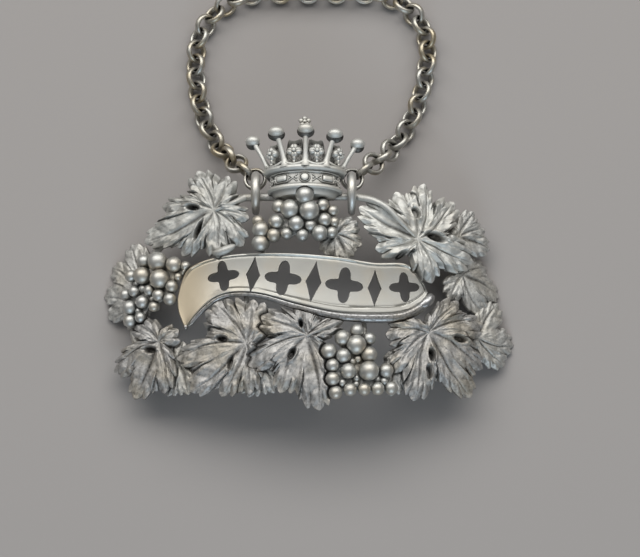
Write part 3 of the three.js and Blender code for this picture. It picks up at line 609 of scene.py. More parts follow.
class Finish(Enum):
    """The finishes that the label's pieces have."""

    # The leaf silver comes in three copies that differ mostly in brightness and tone: a paler one for the
    # upper right leaf, a darker and browner one for the lower leaves.
    LEAF = Silver(
        "chased_silver", "matt_silver", (0.60, 0.60, 0.575), (0.56, 0.51, 0.42), 0.64, GREY_OXIDE_AND_SHADE,
        warm_share=0.3, hollow=0.55, grain_depth=0.025, speckle=0.14)
    PALE_LEAF = Silver(
        "pale_silver", "matt_silver", (0.71, 0.71, 0.68), (0.66, 0.61, 0.52), 0.64, GREY_OXIDE_AND_SHADE,
        warm_share=0.3, hollow=0.5, grain_depth=0.02, speckle=0.08)
    LOW_LEAF = Silver(
        "darker_lower_leaf_silver", "matt_silver", (0.53, 0.52, 0.505), (0.50, 0.45, 0.36), 0.62, GREY_OXIDE_AND_SHADE,
        warm_share=0.6, hollow=0.55, grain_depth=0.03, speckle=0.30)
    STEM = Silver(
        "vine_silver", "matt_silver", (0.63, 0.625, 0.60), (0.58, 0.53, 0.43), 0.62, (0.06, 0.056, 0.052),
        hollow=0.7, grain=0.3, grain_depth=0.03, speckle=0.25)
    GRAPE = Silver(
        "grape_silver", "bright_silver", (0.60, 0.60, 0.575), (0.58, 0.51, 0.40), 0.50, GREY_OXIDE_AND_SHADE,
        warm_share=0.6, hollow=0.65, reach=0.7)
    CORONET = Silver(
        "coronet_silver", "bright_silver", (0.72, 0.72, 0.69), (0.68, 0.62, 0.52), 0.62,
        warm_share=0.3, hollow=0.85, reach=0.7)
    SCROLL = Silver(
        "scroll_silver", "polished_silver", (0.46, 0.455, 0.425), (0.50, 0.43, 0.32), 0.44,
        warm_share=0.3, hollow=0.45, reach=0.5, grain_depth=0.003, scratches=0.003, warm_end=(-20.5, -12.0))
    ROLL = Silver(
        "roll_silver", "polished_silver", (0.46, 0.46, 0.46), (0.40, 0.36, 0.29), 0.36,
        warm_share=0.6, hollow=0.8, grain_depth=0.025, speckle=0.3)
    RING = Silver("ring_silver", "ring_silver", (0.67, 0.67, 0.65), (0.60, 0.54, 0.44), 0.50)
    LINK = Silver(
        "link_silver", "dark_silver", (0.56, 0.55, 0.51), (0.50, 0.41, 0.25), 0.44, (0.02, 0.018, 0.016),
        warm_share=0.7, hollow=1.0, reach=1.5)


MATERIALS: dict[Finish, bpy.types.Material] = {}


def dress(piece: bpy.types.Object, finish: Finish, body: str, *nodes: str) -> bpy.types.Object:
    """Gives a finished piece its material and its place in the frame.

    Args:
        piece: the object.
        finish: its finish.
        body: the body that it rides on.
        nodes: the CAD nodes that it stands for.

    Returns:
        The same object.
    """
    if finish not in MATERIALS:
        MATERIALS[finish] = finish.value.material()
    piece.data.materials.clear()
    piece.data.materials.append(MATERIALS[finish])
    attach(piece, body)
    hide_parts(*nodes)
    log.info("%s: %d faces on %s", piece.name, len(piece.data.polygons), body)
    return piece


@dataclass(frozen=True)
class Lobe:
    """One lobe of a leaf: where its vein ends, from the leaf's middle, and its half width."""

    s: float
    y: float
    half: float

    @property
    def angle(self) -> float:
        """Direction of the lobe's vein."""
        return math.atan2(self.y, self.s)

    @property
    def length(self) -> float:
        """Length of the lobe's vein."""
        return math.hypot(self.s, self.y)


@dataclass
class Leaf:
    """A cast vine leaf: toothed lobes, puffed between chased veins, over a hollow back."""

    at: tuple[float, float]
    lobes: list[Lobe]
    base: float = SEAT
    rise: float = 1.5
    edge: float = 0.5
    core: float = 2.4
    tip: float = 0.7
    fullness: float = 1.22
    tooth_pitch: float = 3.0
    tooth_depth: float = 1.5
    pleat: float = 0.15
    bend: float = 0.55
    wall: float = 0.87
    slant: float = 0.95
    vein_depth: float = 0.07
    fold_depth: float = 0.08
    groove_depth: float = 0.20
    lip_height: float = 0.08
    rim_height: float = 0.05
    collar_height: float = 0.36
    thinnest: float = 0.08
    eyelets: list[tuple[float, float, float, float, float]] = field(default_factory=list)
    stem: tuple[tuple[float, float, float], ...] = ()
    stem_radius: float = 0.62
    curls: tuple[tuple[float, float, float, float], ...] = ()
    sag: tuple[float, float] = (0.0, 0.0)
    around: int = 560
    across: int = 46
    pressed: float = -0.15
    crease: float = 50

    def sectors(self, angle: np.ndarray) -> tuple[np.ndarray, np.ndarray, np.ndarray]:
        """Which lobe each direction belongs to.

        Args:
            angle: directions from the leaf's middle.

        Returns:
            The lobe's number, the angle off its vein, and the share of the way to the neighbour's border.
        """
        lobes = sorted(range(len(self.lobes)), key=lambda k: self.lobes[k].angle)
        axes = np.array([self.lobes[k].angle for k in lobes])
        ahead = (np.roll(axes, -1) - axes) % (2 * math.pi)
        behind = np.roll(ahead, 1)
        off = (angle[:, None] - axes[None] + math.pi) % (2 * math.pi) - math.pi
        room = np.where(off > 0, ahead[None], behind[None]) / 2
        share = np.abs(off) / np.minimum(room, 1.1)
        mine = share.argmin(axis=1)
        rows = np.arange(len(angle))
        return np.array(lobes)[mine], off[rows, mine], np.minimum(share[rows, mine], 1)

    def reach(self, angle: np.ndarray) -> np.ndarray:
        """How far the leaf reaches in each direction, without its teeth.

        Args:
            angle: directions from the leaf's middle.

        Returns:
            The distances.
        """
        best = np.full(angle.shape, self.core)
        for lobe in self.lobes:
            c = np.cos(angle - lobe.angle)
            a = (lobe.length + self.tip) / 2
            b = lobe.half * self.fullness
            r = 2 * a * c / (c * c + (a / b) ** 2 * (1 - c * c))
            best = np.maximum(best, np.where(c > 0, r, 0))
        return best

    def phase(self, lobe: np.ndarray, along: np.ndarray, aside: np.ndarray) -> np.ndarray:
        """Where a point lies in its lobe's run of side veins: whole numbers lie on a side vein.

        Args:
            lobe: number of the lobe.
            along: distance along its vein.
            aside: distance from its vein.

        Returns:
            The phase. The tip lies half way between two side veins, in the middle of a tooth.
        """
        length = np.array([one.length + self.tip for one in self.lobes])[lobe]
        return (along - self.slant * np.abs(aside) - length) / self.tooth_pitch + 0.5

    def outline(self, count: int) -> Outline:
        """The toothed outline.

        Args:
            count: number of points.

        Returns:
            The outline on the sheet.
        """
        angle = np.linspace(-math.pi, math.pi, count, endpoint=False)
        r = self.edge_reach(angle)
        return Outline(np.stack([self.at[0] + r * np.cos(angle), self.at[1] + r * np.sin(angle)], axis=1))

    def edge_reach(self, angle: np.ndarray) -> np.ndarray:
        """Reach in each direction with the teeth, which are uneven and lean towards the lobe's tip.

        Args:
            angle: directions from the leaf's middle.

        Returns:
            The distances.
        """
        lobe, off, _ = self.sectors(angle)
        r = self.reach(angle)
        phase = self.phase(lobe, r * np.cos(off), r * np.sin(off))
        part = phase - np.floor(phase)
        crest = 0.68
        tooth = np.where(part < crest, (part / crest) ** 0.62, ((1 - part) / 0.32) ** 0.55)
        uneven = 0.75 + 0.25 * np.sin(2.3 * np.floor(phase) + 1.7 * lobe + 4 * np.sign(off) + self.at[0])
        return r - self.tooth_depth * uneven * (1 - tooth) * np.minimum(1, r / 5)

    def pierced(self, s: np.ndarray, y: np.ndarray, height: np.ndarray,
                recess: np.ndarray) -> tuple[np.ndarray, np.ndarray]:
        """Sinks the eyelets between the lobes into the face, each with a raised collar, and colours them near
        black as painted shade.

        Args:
            s: places along the sheet, as rows by columns.
            y: places up the label.
            height: the face's heights there.
            recess: its recess values.

        Returns:
            The new heights and recess values.
        """
        for es, ey, turn, half, tall in self.eyelets:
            c, d = math.cos(math.radians(turn)), math.sin(math.radians(turn))
            u, v = (s - es) * c + (y - ey) * d, (y - ey) * c - (s - es) * d
            far = (u / half) ** 2 + (v / tall) ** 2
            pit = np.exp(-(far**2))
            collar = ridge(np.sqrt(far), 1.6, 0.45) * (0.6 + 0.4 * np.sign(u))
            height = height + self.collar_height * collar
            height = height + pit * (0.10 - height)
            # The pits are coloured near black: painted shade.
            recess = np.maximum(recess, 1.15 * pit)
        return np.maximum(height, self.thinnest), np.clip(recess, 0, 1)

    def surface(self, angle: np.ndarray, share: np.ndarray) -> tuple[np.ndarray, np.ndarray]:
        """Height and recess of the leaf's face.

        Args:
            angle: directions, one for each column.
            share: how far out, from 0 at the middle to 1 at the edge, one for each row.

        Returns:
            Height and recess as rows by columns.
        """
        out = share[:, None]
        # Veins leave the middle wide and bend towards the longest lobe.
        axis = max(self.lobes, key=lambda one: one.length).angle
        bend = self.bend * (1 - out) ** 1.3 * np.sin(angle[None] - axis)
        bend = bend + 0.10 * np.sin(math.pi * out) * np.sin(3 * angle[None] + self.at[0])
        turned = angle[None] - bend
        lobe, off, side = (grid.reshape(turned.shape) for grid in self.sectors(turned.ravel()))
        r = out * self.edge_reach(angle)[None]
        along, aside = r * np.cos(off), r * np.sin(off)
        away = np.abs(aside)
        phase = self.phase(lobe, along, aside)
        s, y = self.at[0] + r * np.cos(angle)[None], self.at[1] + r * np.sin(angle)[None]

        # Veins run in hollows, and the leaf is puffed up between them.
        near = np.minimum(np.abs(off) / math.radians(27), 1)
        hill = 0.5 - 0.5 * np.cos(math.pi * near)
        low = eased(out, (0, 0.4, 0.78, 1), (0.56, 0.54, 0.42, 0.05))
        high = eased(out, (0, 0.22, 0.45, 0.78, 1), (0.56, 0.66, 0.94, 0.82, 0.05))
        swell = 0.84 + 0.30 * np.sin(2.1 * lobe + 3.3 * np.sign(off) + self.at[1])
        lengths = np.array([one.length for one in self.lobes])
        main = (0.4 + 0.6 * (lengths / lengths.max()) ** 2)[lobe]
        full = 1 - main * (1 - hill * swell)
        height = self.edge + self.rise * (low + (high - low) * full)
        wave = np.sin(5 * angle + self.at[0])[None]
        height = height + 0.12 * self.rise * smooth(0.78, 1, out) * wave
        # The valleys between the lobes are lowered, and their colour is darkened below: oxide, and painted
        # shade between the lobes.
        valley = smooth(0.93, 1.0, side) * smooth(0.48, 0.75, out)
        height = height - 0.16 * self.rise * valley
        # Each lobe laps a little over the next one.
        height = height + 0.15 * self.rise * smooth(0.70, 1.0, side) * smooth(0.4, 0.75, out) * np.sign(off)
        broad = np.sin(1.15 * s + 0.6 * y + self.at[1]) * np.sin(1.0 * y - 0.8 * s + self.at[0])
        small = np.sin(2.9 * s + 2.0 * np.sin(1.7 * y)) * np.sin(2.7 * y + 1.4 * np.sin(2.1 * s))
        height = height + smooth(0.1, 0.4, out) * (0.09 * self.rise * broad + 0.04 * small)

        # Thin side veins run out to the teeth, and shallow folds to the notches; not all are alike.
        deep = smooth(0.2, 0.5, out) * smooth(0.15, 0.6, away)
        strong = 0.6 + 0.4 * np.sin(1.9 * np.floor(phase) + 2.6 * lobe + 4 * np.sign(off))
        part = phase - np.floor(phase)
        fold = ridge(np.minimum(part, 1 - part), 0, 0.10) * deep * smooth(0.55, 0.9, out)
        vein = ridge(part, 0.55, 0.035) * deep * strong * smooth(1.0, 0.85, out)
        height += self.pleat * deep * (np.sin(math.pi * part) - 0.6) * (0.5 + 0.5 * strong)
        height -= self.vein_depth * vein + self.fold_depth * fold

        # Each main vein is one groove between soft lips.
        fade = smooth(1.0, 0.55, out)
        wide = 0.10 + 0.05 * fade
        ends = smooth(1.0, 0.9, out) * smooth(0.02, 0.16, out)
        groove = ridge(aside, 0, wide) * (0.35 + 0.65 * fade) * ends * main
        lips = ridge(away, 0.42, 0.2) * fade * smooth(0.05, 0.2, out)
        height += self.lip_height * lips - self.groove_depth * groove
        height += self.rim_height * smooth(0.90, 0.965, out) * smooth(1.0, 0.985, out)
        # Recess: oxide in the grooves, veins and folds; oxide and painted shade in the valleys between the
        # lobes.
        return self.pierced(s, y, height, 0.72 * groove + 0.30 * fold + 0.36 * vein + 0.5 * valley)

    def shell(self) -> Shell:
        """The leaf as a closed skin on the layout.

        Returns:
            Its face, edge and hollow back, with the stem and the curled tips on it.
        """
        angle = np.linspace(-math.pi, math.pi, self.around, endpoint=False)
        share = np.linspace(0, 1, self.across + 1)[1:] ** 0.8
        back_share = np.array([1.0, 0.93, 0.8, 0.6, 0.4, 0.2])
        height, recess = self.surface(angle, share)
        back, _ = self.surface(angle, back_share)
        blur = np.ones(31) / 31
        middle = slice(self.around, 2 * self.around)
        back = np.array([np.convolve(np.tile(ring, 3), blur, "same")[middle] for ring in back])
        back = np.maximum(back - self.wall, 0)
        back[0] = height[-1] - self.edge
        edge = [height[-1] + (back[0] - height[-1]) * drop for drop in (0.35, 0.8)]
        up = np.vstack([height, *edge, back])
        dark = np.vstack([recess, np.full((len(edge), self.around), 0.25), np.full(back.shape, 0.55)])

        cos, sin = np.cos(angle), np.sin(angle)
        r = self.edge_reach(angle) * np.concatenate([share, np.ones(len(edge)), back_share - 0.004])[:, None]
        sag = np.maximum(0, self.sag[0] * r * cos + self.sag[1] * r * sin)
        made = Shell()
        made.rows(np.stack([self.at[0] + r * cos, self.at[1] + r * sin, self.base + up - sag], axis=2), dark)
        if self.stem:
            path = spaced(list(self.stem), 40)
            path[:, 2] += self.base
            made.tube(path, self.stem_radius * np.linspace(1, 0.45, 40), 16, 0.08)
        for s, y, turn, half in self.curls:
            way = np.array([math.cos(math.radians(turn)), math.sin(math.radians(turn)), 0])
            share = np.linspace(-1, 1, 26)
            path = np.array([s, y, self.base + self.edge + 0.5 * self.rise]) + share[:, None] * half * way
            path[:, 2] -= 0.35 * share**2
            path[:, 1] += 0.35 * share**2
            made.tube(path, 0.74 * np.sqrt(np.maximum(0.04, 1 - share**2)) ** 0.7, 18)
        return made


def lobes(*values: tuple[float, float, float]) -> list[Lobe]:
    """Makes lobes.

    Args:
        values: for each, where its vein ends along and across, and its half width.

    Returns:
        The lobes.
    """
    return [Lobe(*value) for value in values]


@dataclass
class VineLeaves:
    """The six large leaves and the eight small ones behind them."""

    sprig_base: float = 0.45
    sprig_rise: float = 0.75

    def large(self) -> dict[str, Leaf]:
        """The leaves that have a node of their own.

        Returns:
            The leaves by their nodes' names.
        """
        return {
            "leaf_upper_left": Leaf(
                (-15.8, 9.0),
                lobes((-2.9, 6.8, 2.6), (2.2, 5.7, 2.3), (5.4, -1.6, 2.2), (4.6, -5.9, 2.3),
                      (0.9, -7.9, 2.4), (-5.4, -7.1, 2.1), (-12.0, -4.4, 2.5), (-8.9, 1.4, 2.2)),
                eyelets=[(-19.3, 9.7, 80, 0.45, 0.95), (-18.3, 5.6, -22, 0.42, 1.6)],
                curls=((-14.0, 1.75, 18, 2.0),),
                stem=((-10.6, 11.2, 0.35), (-12.8, 9.9, 1.3), (-15.4, 8.9, 1.45))),
            "leaf_upper_right": Leaf(
                (18.0, 4.0),
                lobes((-9.2, 5.2, 2.8), (-3.2, 7.8, 2.2), (1.4, 9.6, 2.4), (6.6, 7.0, 2.7),
                      (9.9, -2.9, 3.0), (2.6, -6.8, 2.2), (-6.4, -1.9, 2.1)),
                rise=2.0,
                eyelets=[(17.7, 8.6, 20, 0.42, 0.8), (21.1, 4.5, 72, 0.62, 1.4), (15.2, 1.0, -55, 0.45, 1.0)],
                stem=((8.4, 11.1, 0.3), (10.5, 10.4, 1.6), (12.6, 9.0, 2.5), (14.9, 6.6, 2.5),
                      (17.6, 4.4, 1.6))),
            "leaf_lower_right": Leaf(
                (19.9, -12.2),
                lobes((-6.6, -0.4, 2.7), (5.3, 5.7, 2.2), (9.7, 2.2, 2.4), (9.6, -5.2, 2.8),
                      (7.4, -10.1, 2.7), (-2.3, -11.2, 2.6), (-5.6, -6.6, 2.1)),
                rise=1.8,
                eyelets=[(20.2, -16.0, 5, 0.48, 0.95), (25.3, -12.9, 75, 0.45, 0.95),
                         (19.7, -19.0, 8, 0.35, 1.0)],
                stem=((17.6, -10.0, 0.4), (18.5, -11.4, 1.4), (19.8, -12.1, 1.5)),
                stem_radius=0.42),
            "leaf_lower_middle": Leaf(
                (-0.2, -13.3),
                lobes((1.8, -12.1, 3.0), (-9.2, -4.6, 2.3), (-7.2, 3.3, 2.6), (-1.6, 5.4, 2.4),
                      (5.6, 2.8, 1.6), (3.8, -6.6, 2.0), (-4.2, -9.2, 2.4)),
                rise=1.7,
                eyelets=[(-2.7, -16.4, -25, 0.45, 0.9), (-1.2, -11.2, 10, 0.3, 0.6)],
                stem=((5.2, -10.6, 1.1), (2.5, -12.0, 1.9), (-0.3, -13.4, 1.5)),
                stem_radius=0.5),
            "leaf_lower_left_inner": Leaf(
                (-10.2, -14.5),
                lobes((-5.2, 7.2, 3.6), (1.0, 7.3, 3.2), (-11.4, -1.8, 2.4), (-9.0, -7.4, 2.8),
                      (-3.8, -8.3, 2.4), (0.6, -8.2, 2.0)),
                eyelets=[(-14.1, -13.5, 78, 0.45, 0.8), (-12.7, -17.8, -8, 0.4, 0.9)]),
            "leaf_lower_left": Leaf(
                (-25.2, -13.4),
                lobes((-4.3, 3.6, 2.2), (-8.3, -4.2, 2.4), (-4.3, -9.1, 2.5), (0.8, -8.4, 2.2),
                      (3.0, 1.6, 1.8)),
                rise=1.2,
                eyelets=[(-26.8, -14.6, 80, 0.5, 0.9)]),
        }

    def small(self) -> list[Leaf]:
        """The leaves that are cast in one with the branch.

        Returns:
            The leaves, from their middles, how they sag towards the edge, and their lobes.
        """
        places = [
            ((26.4, 5.4), (0, 0), ((2.6, 4.4, 1.9), (4.6, 1.8, 1.8), (5.6, -1.4, 1.9))),
            ((27.0, -1.2), (0.24, 0.3),
             ((5.6, 2.1, 2.0), (7.5, -2.7, 2.2), (3.9, -6.1, 2.2), (-2.4, -3.9, 2.0))),
            ((29.6, -12.0), (0, 0), ((7.1, -0.6, 2.4), (4.1, 5.9, 2.2), (5.0, -4.2, 2.2))),
            ((4.6, 4.6), (0, 0), ((3.3, 2.2, 1.7), (3.9, -1.5, 1.6), (1.6, -4.0, 2.0), (-1.4, -3.0, 1.8))),
            ((-28.4, -3.4), (0, 0.12),
             ((-3.8, 7.9, 2.4), (-7.3, 4.3, 2.2), (-8.4, -0.6, 2.2), (-7.5, -4.4, 2.0), (-3.4, -6.6, 2.2))),
            ((-22.2, -17.4), (0, 0), ((-1.9, -4.6, 1.8), (1.6, -4.6, 1.8), (0.6, 3.6, 1.8))),
            ((-8.6, -17.6), (0, 0), ((-1.2, -5.2, 2.0), (2.6, -4.6, 1.8))),
            ((15.0, -17.0), (0, 0), ((-1.0, -5.4, 1.8), (3.4, -5.0, 1.8))),
        ]
        return [
            Leaf(at, lobes(*ends), self.sprig_base, self.sprig_rise, tooth_pitch=2.3, tooth_depth=1.0,
                 sag=sag, around=300, across=22)
            for at, sag, ends in places
        ]


def curve_object(name: str, path: np.ndarray, radii: np.ndarray, looped: bool) -> bpy.types.Object:
    """A poly curve that a node tree turns into a stem.

    Args:
        name: the object's name.
        path: n by 3 array of points in metres.
        radii: n radii in metres.
        looped: whether it closes on itself.

    Returns:
        The curve object.
    """
    curve = bpy.data.curves.new(name, "CURVE")
    curve.dimensions = "3D"
    spline = curve.splines.new("POLY")
    spline.points.add(len(path) - 1)
    spline.points.foreach_set("co", np.hstack([path, np.ones((len(path), 1))]).ravel())
    spline.points.foreach_set("radius", radii)
    spline.use_cyclic_u = looped
    return linked(name, curve)


def plain(holder: bpy.types.Object, name: str) -> bpy.types.Object:
    """Carries out an object's modifiers and keeps the result as a plain mesh.

    Args:
        holder: the object; it is removed.
        name: the new object's name.

    Returns:
        A smooth mesh object without modifiers.
    """
    bpy.context.view_layer.update()
    graph = bpy.context.evaluated_depsgraph_get()
    mesh = bpy.data.meshes.new_from_object(holder.evaluated_get(graph), depsgraph=graph)
    mesh.name = name
    bpy.data.objects.remove(holder, do_unlink=True)
    mesh.shade_smooth()
    return linked(name, mesh)


def baked(holder: bpy.types.Object, tree: bpy.types.NodeTree, inputs: dict, name: str) -> bpy.types.Object:
    """Runs a node tree on an object and keeps the result as a plain mesh.

    Args:
        holder: the object that the tree reads; it is removed.
        tree: the geometry node tree.
        inputs: values for the tree's named inputs.
        name: the new object's name.

    Returns:
        A mesh object without modifiers.
    """
    modifier = holder.modifiers.new("grow", "NODES")
    modifier.node_group = tree
    for item in tree.interface.items_tree:
        if item.item_type == "SOCKET" and item.in_out == "INPUT" and item.name in inputs:
            modifier[item.identifier] = inputs[item.name]
    return plain(holder, name)


def node_tree(name: str, **inputs: float | None) -> tuple[bpy.types.NodeTree, Links, dict]:
    """An empty geometry node tree with named inputs.

    Args:
        name: its name.
        inputs: default values by input name; underscores stand for spaces, and the kind follows the value.

    Returns:
        The tree, its node adder, and the inputs' sockets by name.
    """
    tree = bpy.data.node_groups.new(name, "GeometryNodeTree")
    tree.interface.new_socket("Geometry", in_out="INPUT", socket_type="NodeSocketGeometry")
    tree.interface.new_socket("Geometry", in_out="OUTPUT", socket_type="NodeSocketGeometry")
    for key, value in inputs.items():
        kind = "NodeSocketInt" if isinstance(value, int) else "NodeSocketFloat"
        if value is None:
            kind = "NodeSocketMaterial"
        socket = tree.interface.new_socket(key.replace("_", " "), in_out="INPUT", socket_type=kind)
        if value is not None:
            socket.default_value = value
    nodes = Links(tree)
    into = nodes.add("NodeGroupInput")
    return tree, nodes, {socket.name: socket for socket in into.outputs}


def closed_tree(nodes: Links, geometry: bpy.types.NodeSocket, material: bpy.types.NodeSocket) -> None:
    """Ends a tree: makes its instances real and gives them their material.

    Args:
        nodes: the tree's node adder.
        geometry: what the tree made.
        material: socket of the material.
    """
    real = nodes.add("GeometryNodeRealizeInstances", Geometry=geometry).outputs[0]
    coloured = nodes.add("GeometryNodeSetMaterial", Geometry=real, Material=material).outputs[0]
    nodes.add("NodeGroupOutput", Geometry=coloured)


def bar_tree() -> bpy.types.NodeTree:
    """A tree that turns a curve into a bar of oval section, with bark or hammer marks on its skin.

    Returns:
        The tree. The curve's radius scales the section, and Level is the noise that leaves the skin in place.
    """
    tree, nodes, given = node_tree(
        "bar", Sides=16, Width=1.0, Thickness=1.0, Unevenness=0.0001, Grain=1100.0, Detail=3.0, Level=0.5,
        Seed=2, Material=None)
    section = nodes.add("GeometryNodeCurvePrimitiveCircle", Resolution=given["Sides"], Radius=1.0).outputs[0]
    scale = nodes.add("ShaderNodeCombineXYZ", X=given["Thickness"], Y=given["Width"], Z=1.0).outputs[0]
    oval = nodes.add("GeometryNodeTransform", Geometry=section, Scale=scale).outputs[0]
    radius = nodes.add("GeometryNodeInputRadius").outputs[0]
    skin = nodes.add("GeometryNodeCurveToMesh", _0=given["Geometry"], _1=oval)
    skin.inputs["Fill Caps"].default_value = True
    for socket in skin.inputs:
        if socket.name == "Scale":
            tree.links.new(radius, socket)
    place = nodes.add("GeometryNodeInputPosition").outputs[0]
    noise = nodes.add("ShaderNodeTexNoise", {"noise_dimensions": "4D"}, Vector=place, W=given["Seed"],
                      Scale=given["Grain"], Detail=given["Detail"])
    above = nodes.maths("SUBTRACT", noise.outputs[0], given["Level"])
    lift = nodes.maths("MULTIPLY", above, given["Unevenness"])
    normal = nodes.add("GeometryNodeInputNormal").outputs[0]
    push = nodes.add("ShaderNodeVectorMath", {"operation": "SCALE"}, Vector=normal, Scale=lift).outputs[0]
    moved = nodes.add("GeometryNodeSetPosition", Geometry=skin.outputs[0], Offset=push).outputs[0]
    closed_tree(nodes, moved, given["Material"])
    return tree


def joined(name: str, pieces: list[bpy.types.Object]) -> bpy.types.Object:
    """Joins mesh objects into one.

    Args:
        name: the new object's name.
        pieces: the objects; they are removed.

    Returns:
        The smooth mesh object.
    """
    shape = bmesh.new()
    for piece in pieces:
        shape.from_mesh(piece.data)
    mesh = bpy.data.meshes.new(name)
    shape.to_mesh(mesh)
    shape.free()
    for piece in pieces:
        bpy.data.objects.remove(piece, do_unlink=True)
    mesh.shade_smooth()
    return linked(name, mesh)


@dataclass
class VineBranch:
    """The oval vine branch with its twigs, and the small leaves cast in one with it."""

    radius: float = 0.8
    twig_radius: float = 0.5
    knot_pitch: float = 11.0
    bark: float = 0.16
    sides: int = 18
    per_span: int = 20
    seed: int = 4
    loop: tuple = (
        (-11.2, 11.4), (-5, 11.4), (3, 11.4), (9.4, 11.4), (14, 9.6), (21, 6.2), (27, 2), (30.5, -4.5),
        (31, -11.5), (27.5, -17.5), (20, -19.6), (10, -19.8), (0, -19), (-10, -19.6), (-20, -18.8),
        (-28, -16.4), (-31.2, -10.5), (-30.6, -3.4), (-27, 2.8), (-21, 7.4), (-15.4, 10.4))
    twigs: tuple = (
        ((21, 6.2), (19.4, 5.4), (18, 4)),
        ((30.5, -4.5), (28.6, -2.6), (27, -1.2)),
        ((27.5, -17.5), (24, -15.4), (19.9, -12.2)),
        ((0, -19), (-0.6, -16), (-0.2, -13.3), (0.4, -9.4)),
        ((-10, -19.6), (-10.6, -17), (-10.2, -14.5), (-10.6, -8.4), (-10.4, -5.6)),
        ((-28, -16.4), (-26.4, -15), (-25.2, -13.4)),
        ((10, -19.8), (9.2, -15), (9.4, -11.6), (9, -8.6)),
        ((-4, 11.4), (-3.4, 8), (-3.2, 4.2)),
        ((-3.4, 8), (-6, 5.6), (-7.6, 3.4), (-7.8, 0.6)),
        ((3, 11.4), (3.4, 8), (4.6, 4.6), (6.4, -0.4)),
    )

    def stem(self, name: str, path: list, radius: float, looped: bool,
             tree: bpy.types.NodeTree) -> bpy.types.Object:
        """Makes one stem.

        Args:
            name: the object's name.
            path: points that it passes through, in s and y.
            radius: its radius in millimetres.
            looped: whether it closes on itself.
            tree: the bar's node tree.

        Returns:
            Its mesh object.
        """
        ends = [path[-1], *path, path[0], path[1]] if looped else path
        line = spaced(ends, self.per_span * len(path))
        if looped:
            # The curve runs past its first point at both ends; it is cut there.
            window = 3 * self.per_span
            far = np.linalg.norm(line - np.array(path[0]), axis=1)
            line = line[int(far[:window].argmin()):len(line) - window + int(far[-window:].argmin())]
        run = np.concatenate([[0], np.cumsum(np.linalg.norm(np.diff(line, axis=0), axis=1))])
        swell = 0.90 + 0.05 * np.sin(run * 2 * math.pi / self.knot_pitch)
        # Where a small leaf lies over the branch, only a thin rib of it is left.
        under = np.zeros(len(line))
        for leaf in VineLeaves().small():
            under = np.maximum(under, smooth(0.6, -0.4, leaf.outline(120).distance(line)))
        swell = swell * (1 - 0.55 * under)
        layout = np.column_stack([line, self.radius * (1 - 0.5 * under)])
        curve = curve_object(name, SHEET.place(layout), radius * swell * MM, looped)
        bark = {"Sides": self.sides, "Unevenness": self.bark * MM, "Seed": self.seed}
        return baked(curve, tree, bark, name)

    def build(self) -> bpy.types.Object:
        """Builds the branch with its twigs and small leaves.

        Returns:
            The dressed object.
        """
        tree = bar_tree()
        pieces = [self.stem("loop", list(self.loop), self.radius - self.bark / 2, True, tree)]
        for k, path in enumerate(self.twigs):
            pieces.append(self.stem(f"twig_{k + 1}", list(path), self.twig_radius, False, tree))
        skin = Shell()
        for leaf in VineLeaves().small():
            skin.take(leaf.shell())
        pieces.append(skin.mesh("small_leaves", SHEET.place(skin.layout())))
        branch = joined("vine_branch_dressed", pieces)
        return dress(branch, Finish.STEM, "label", "vine_branch")


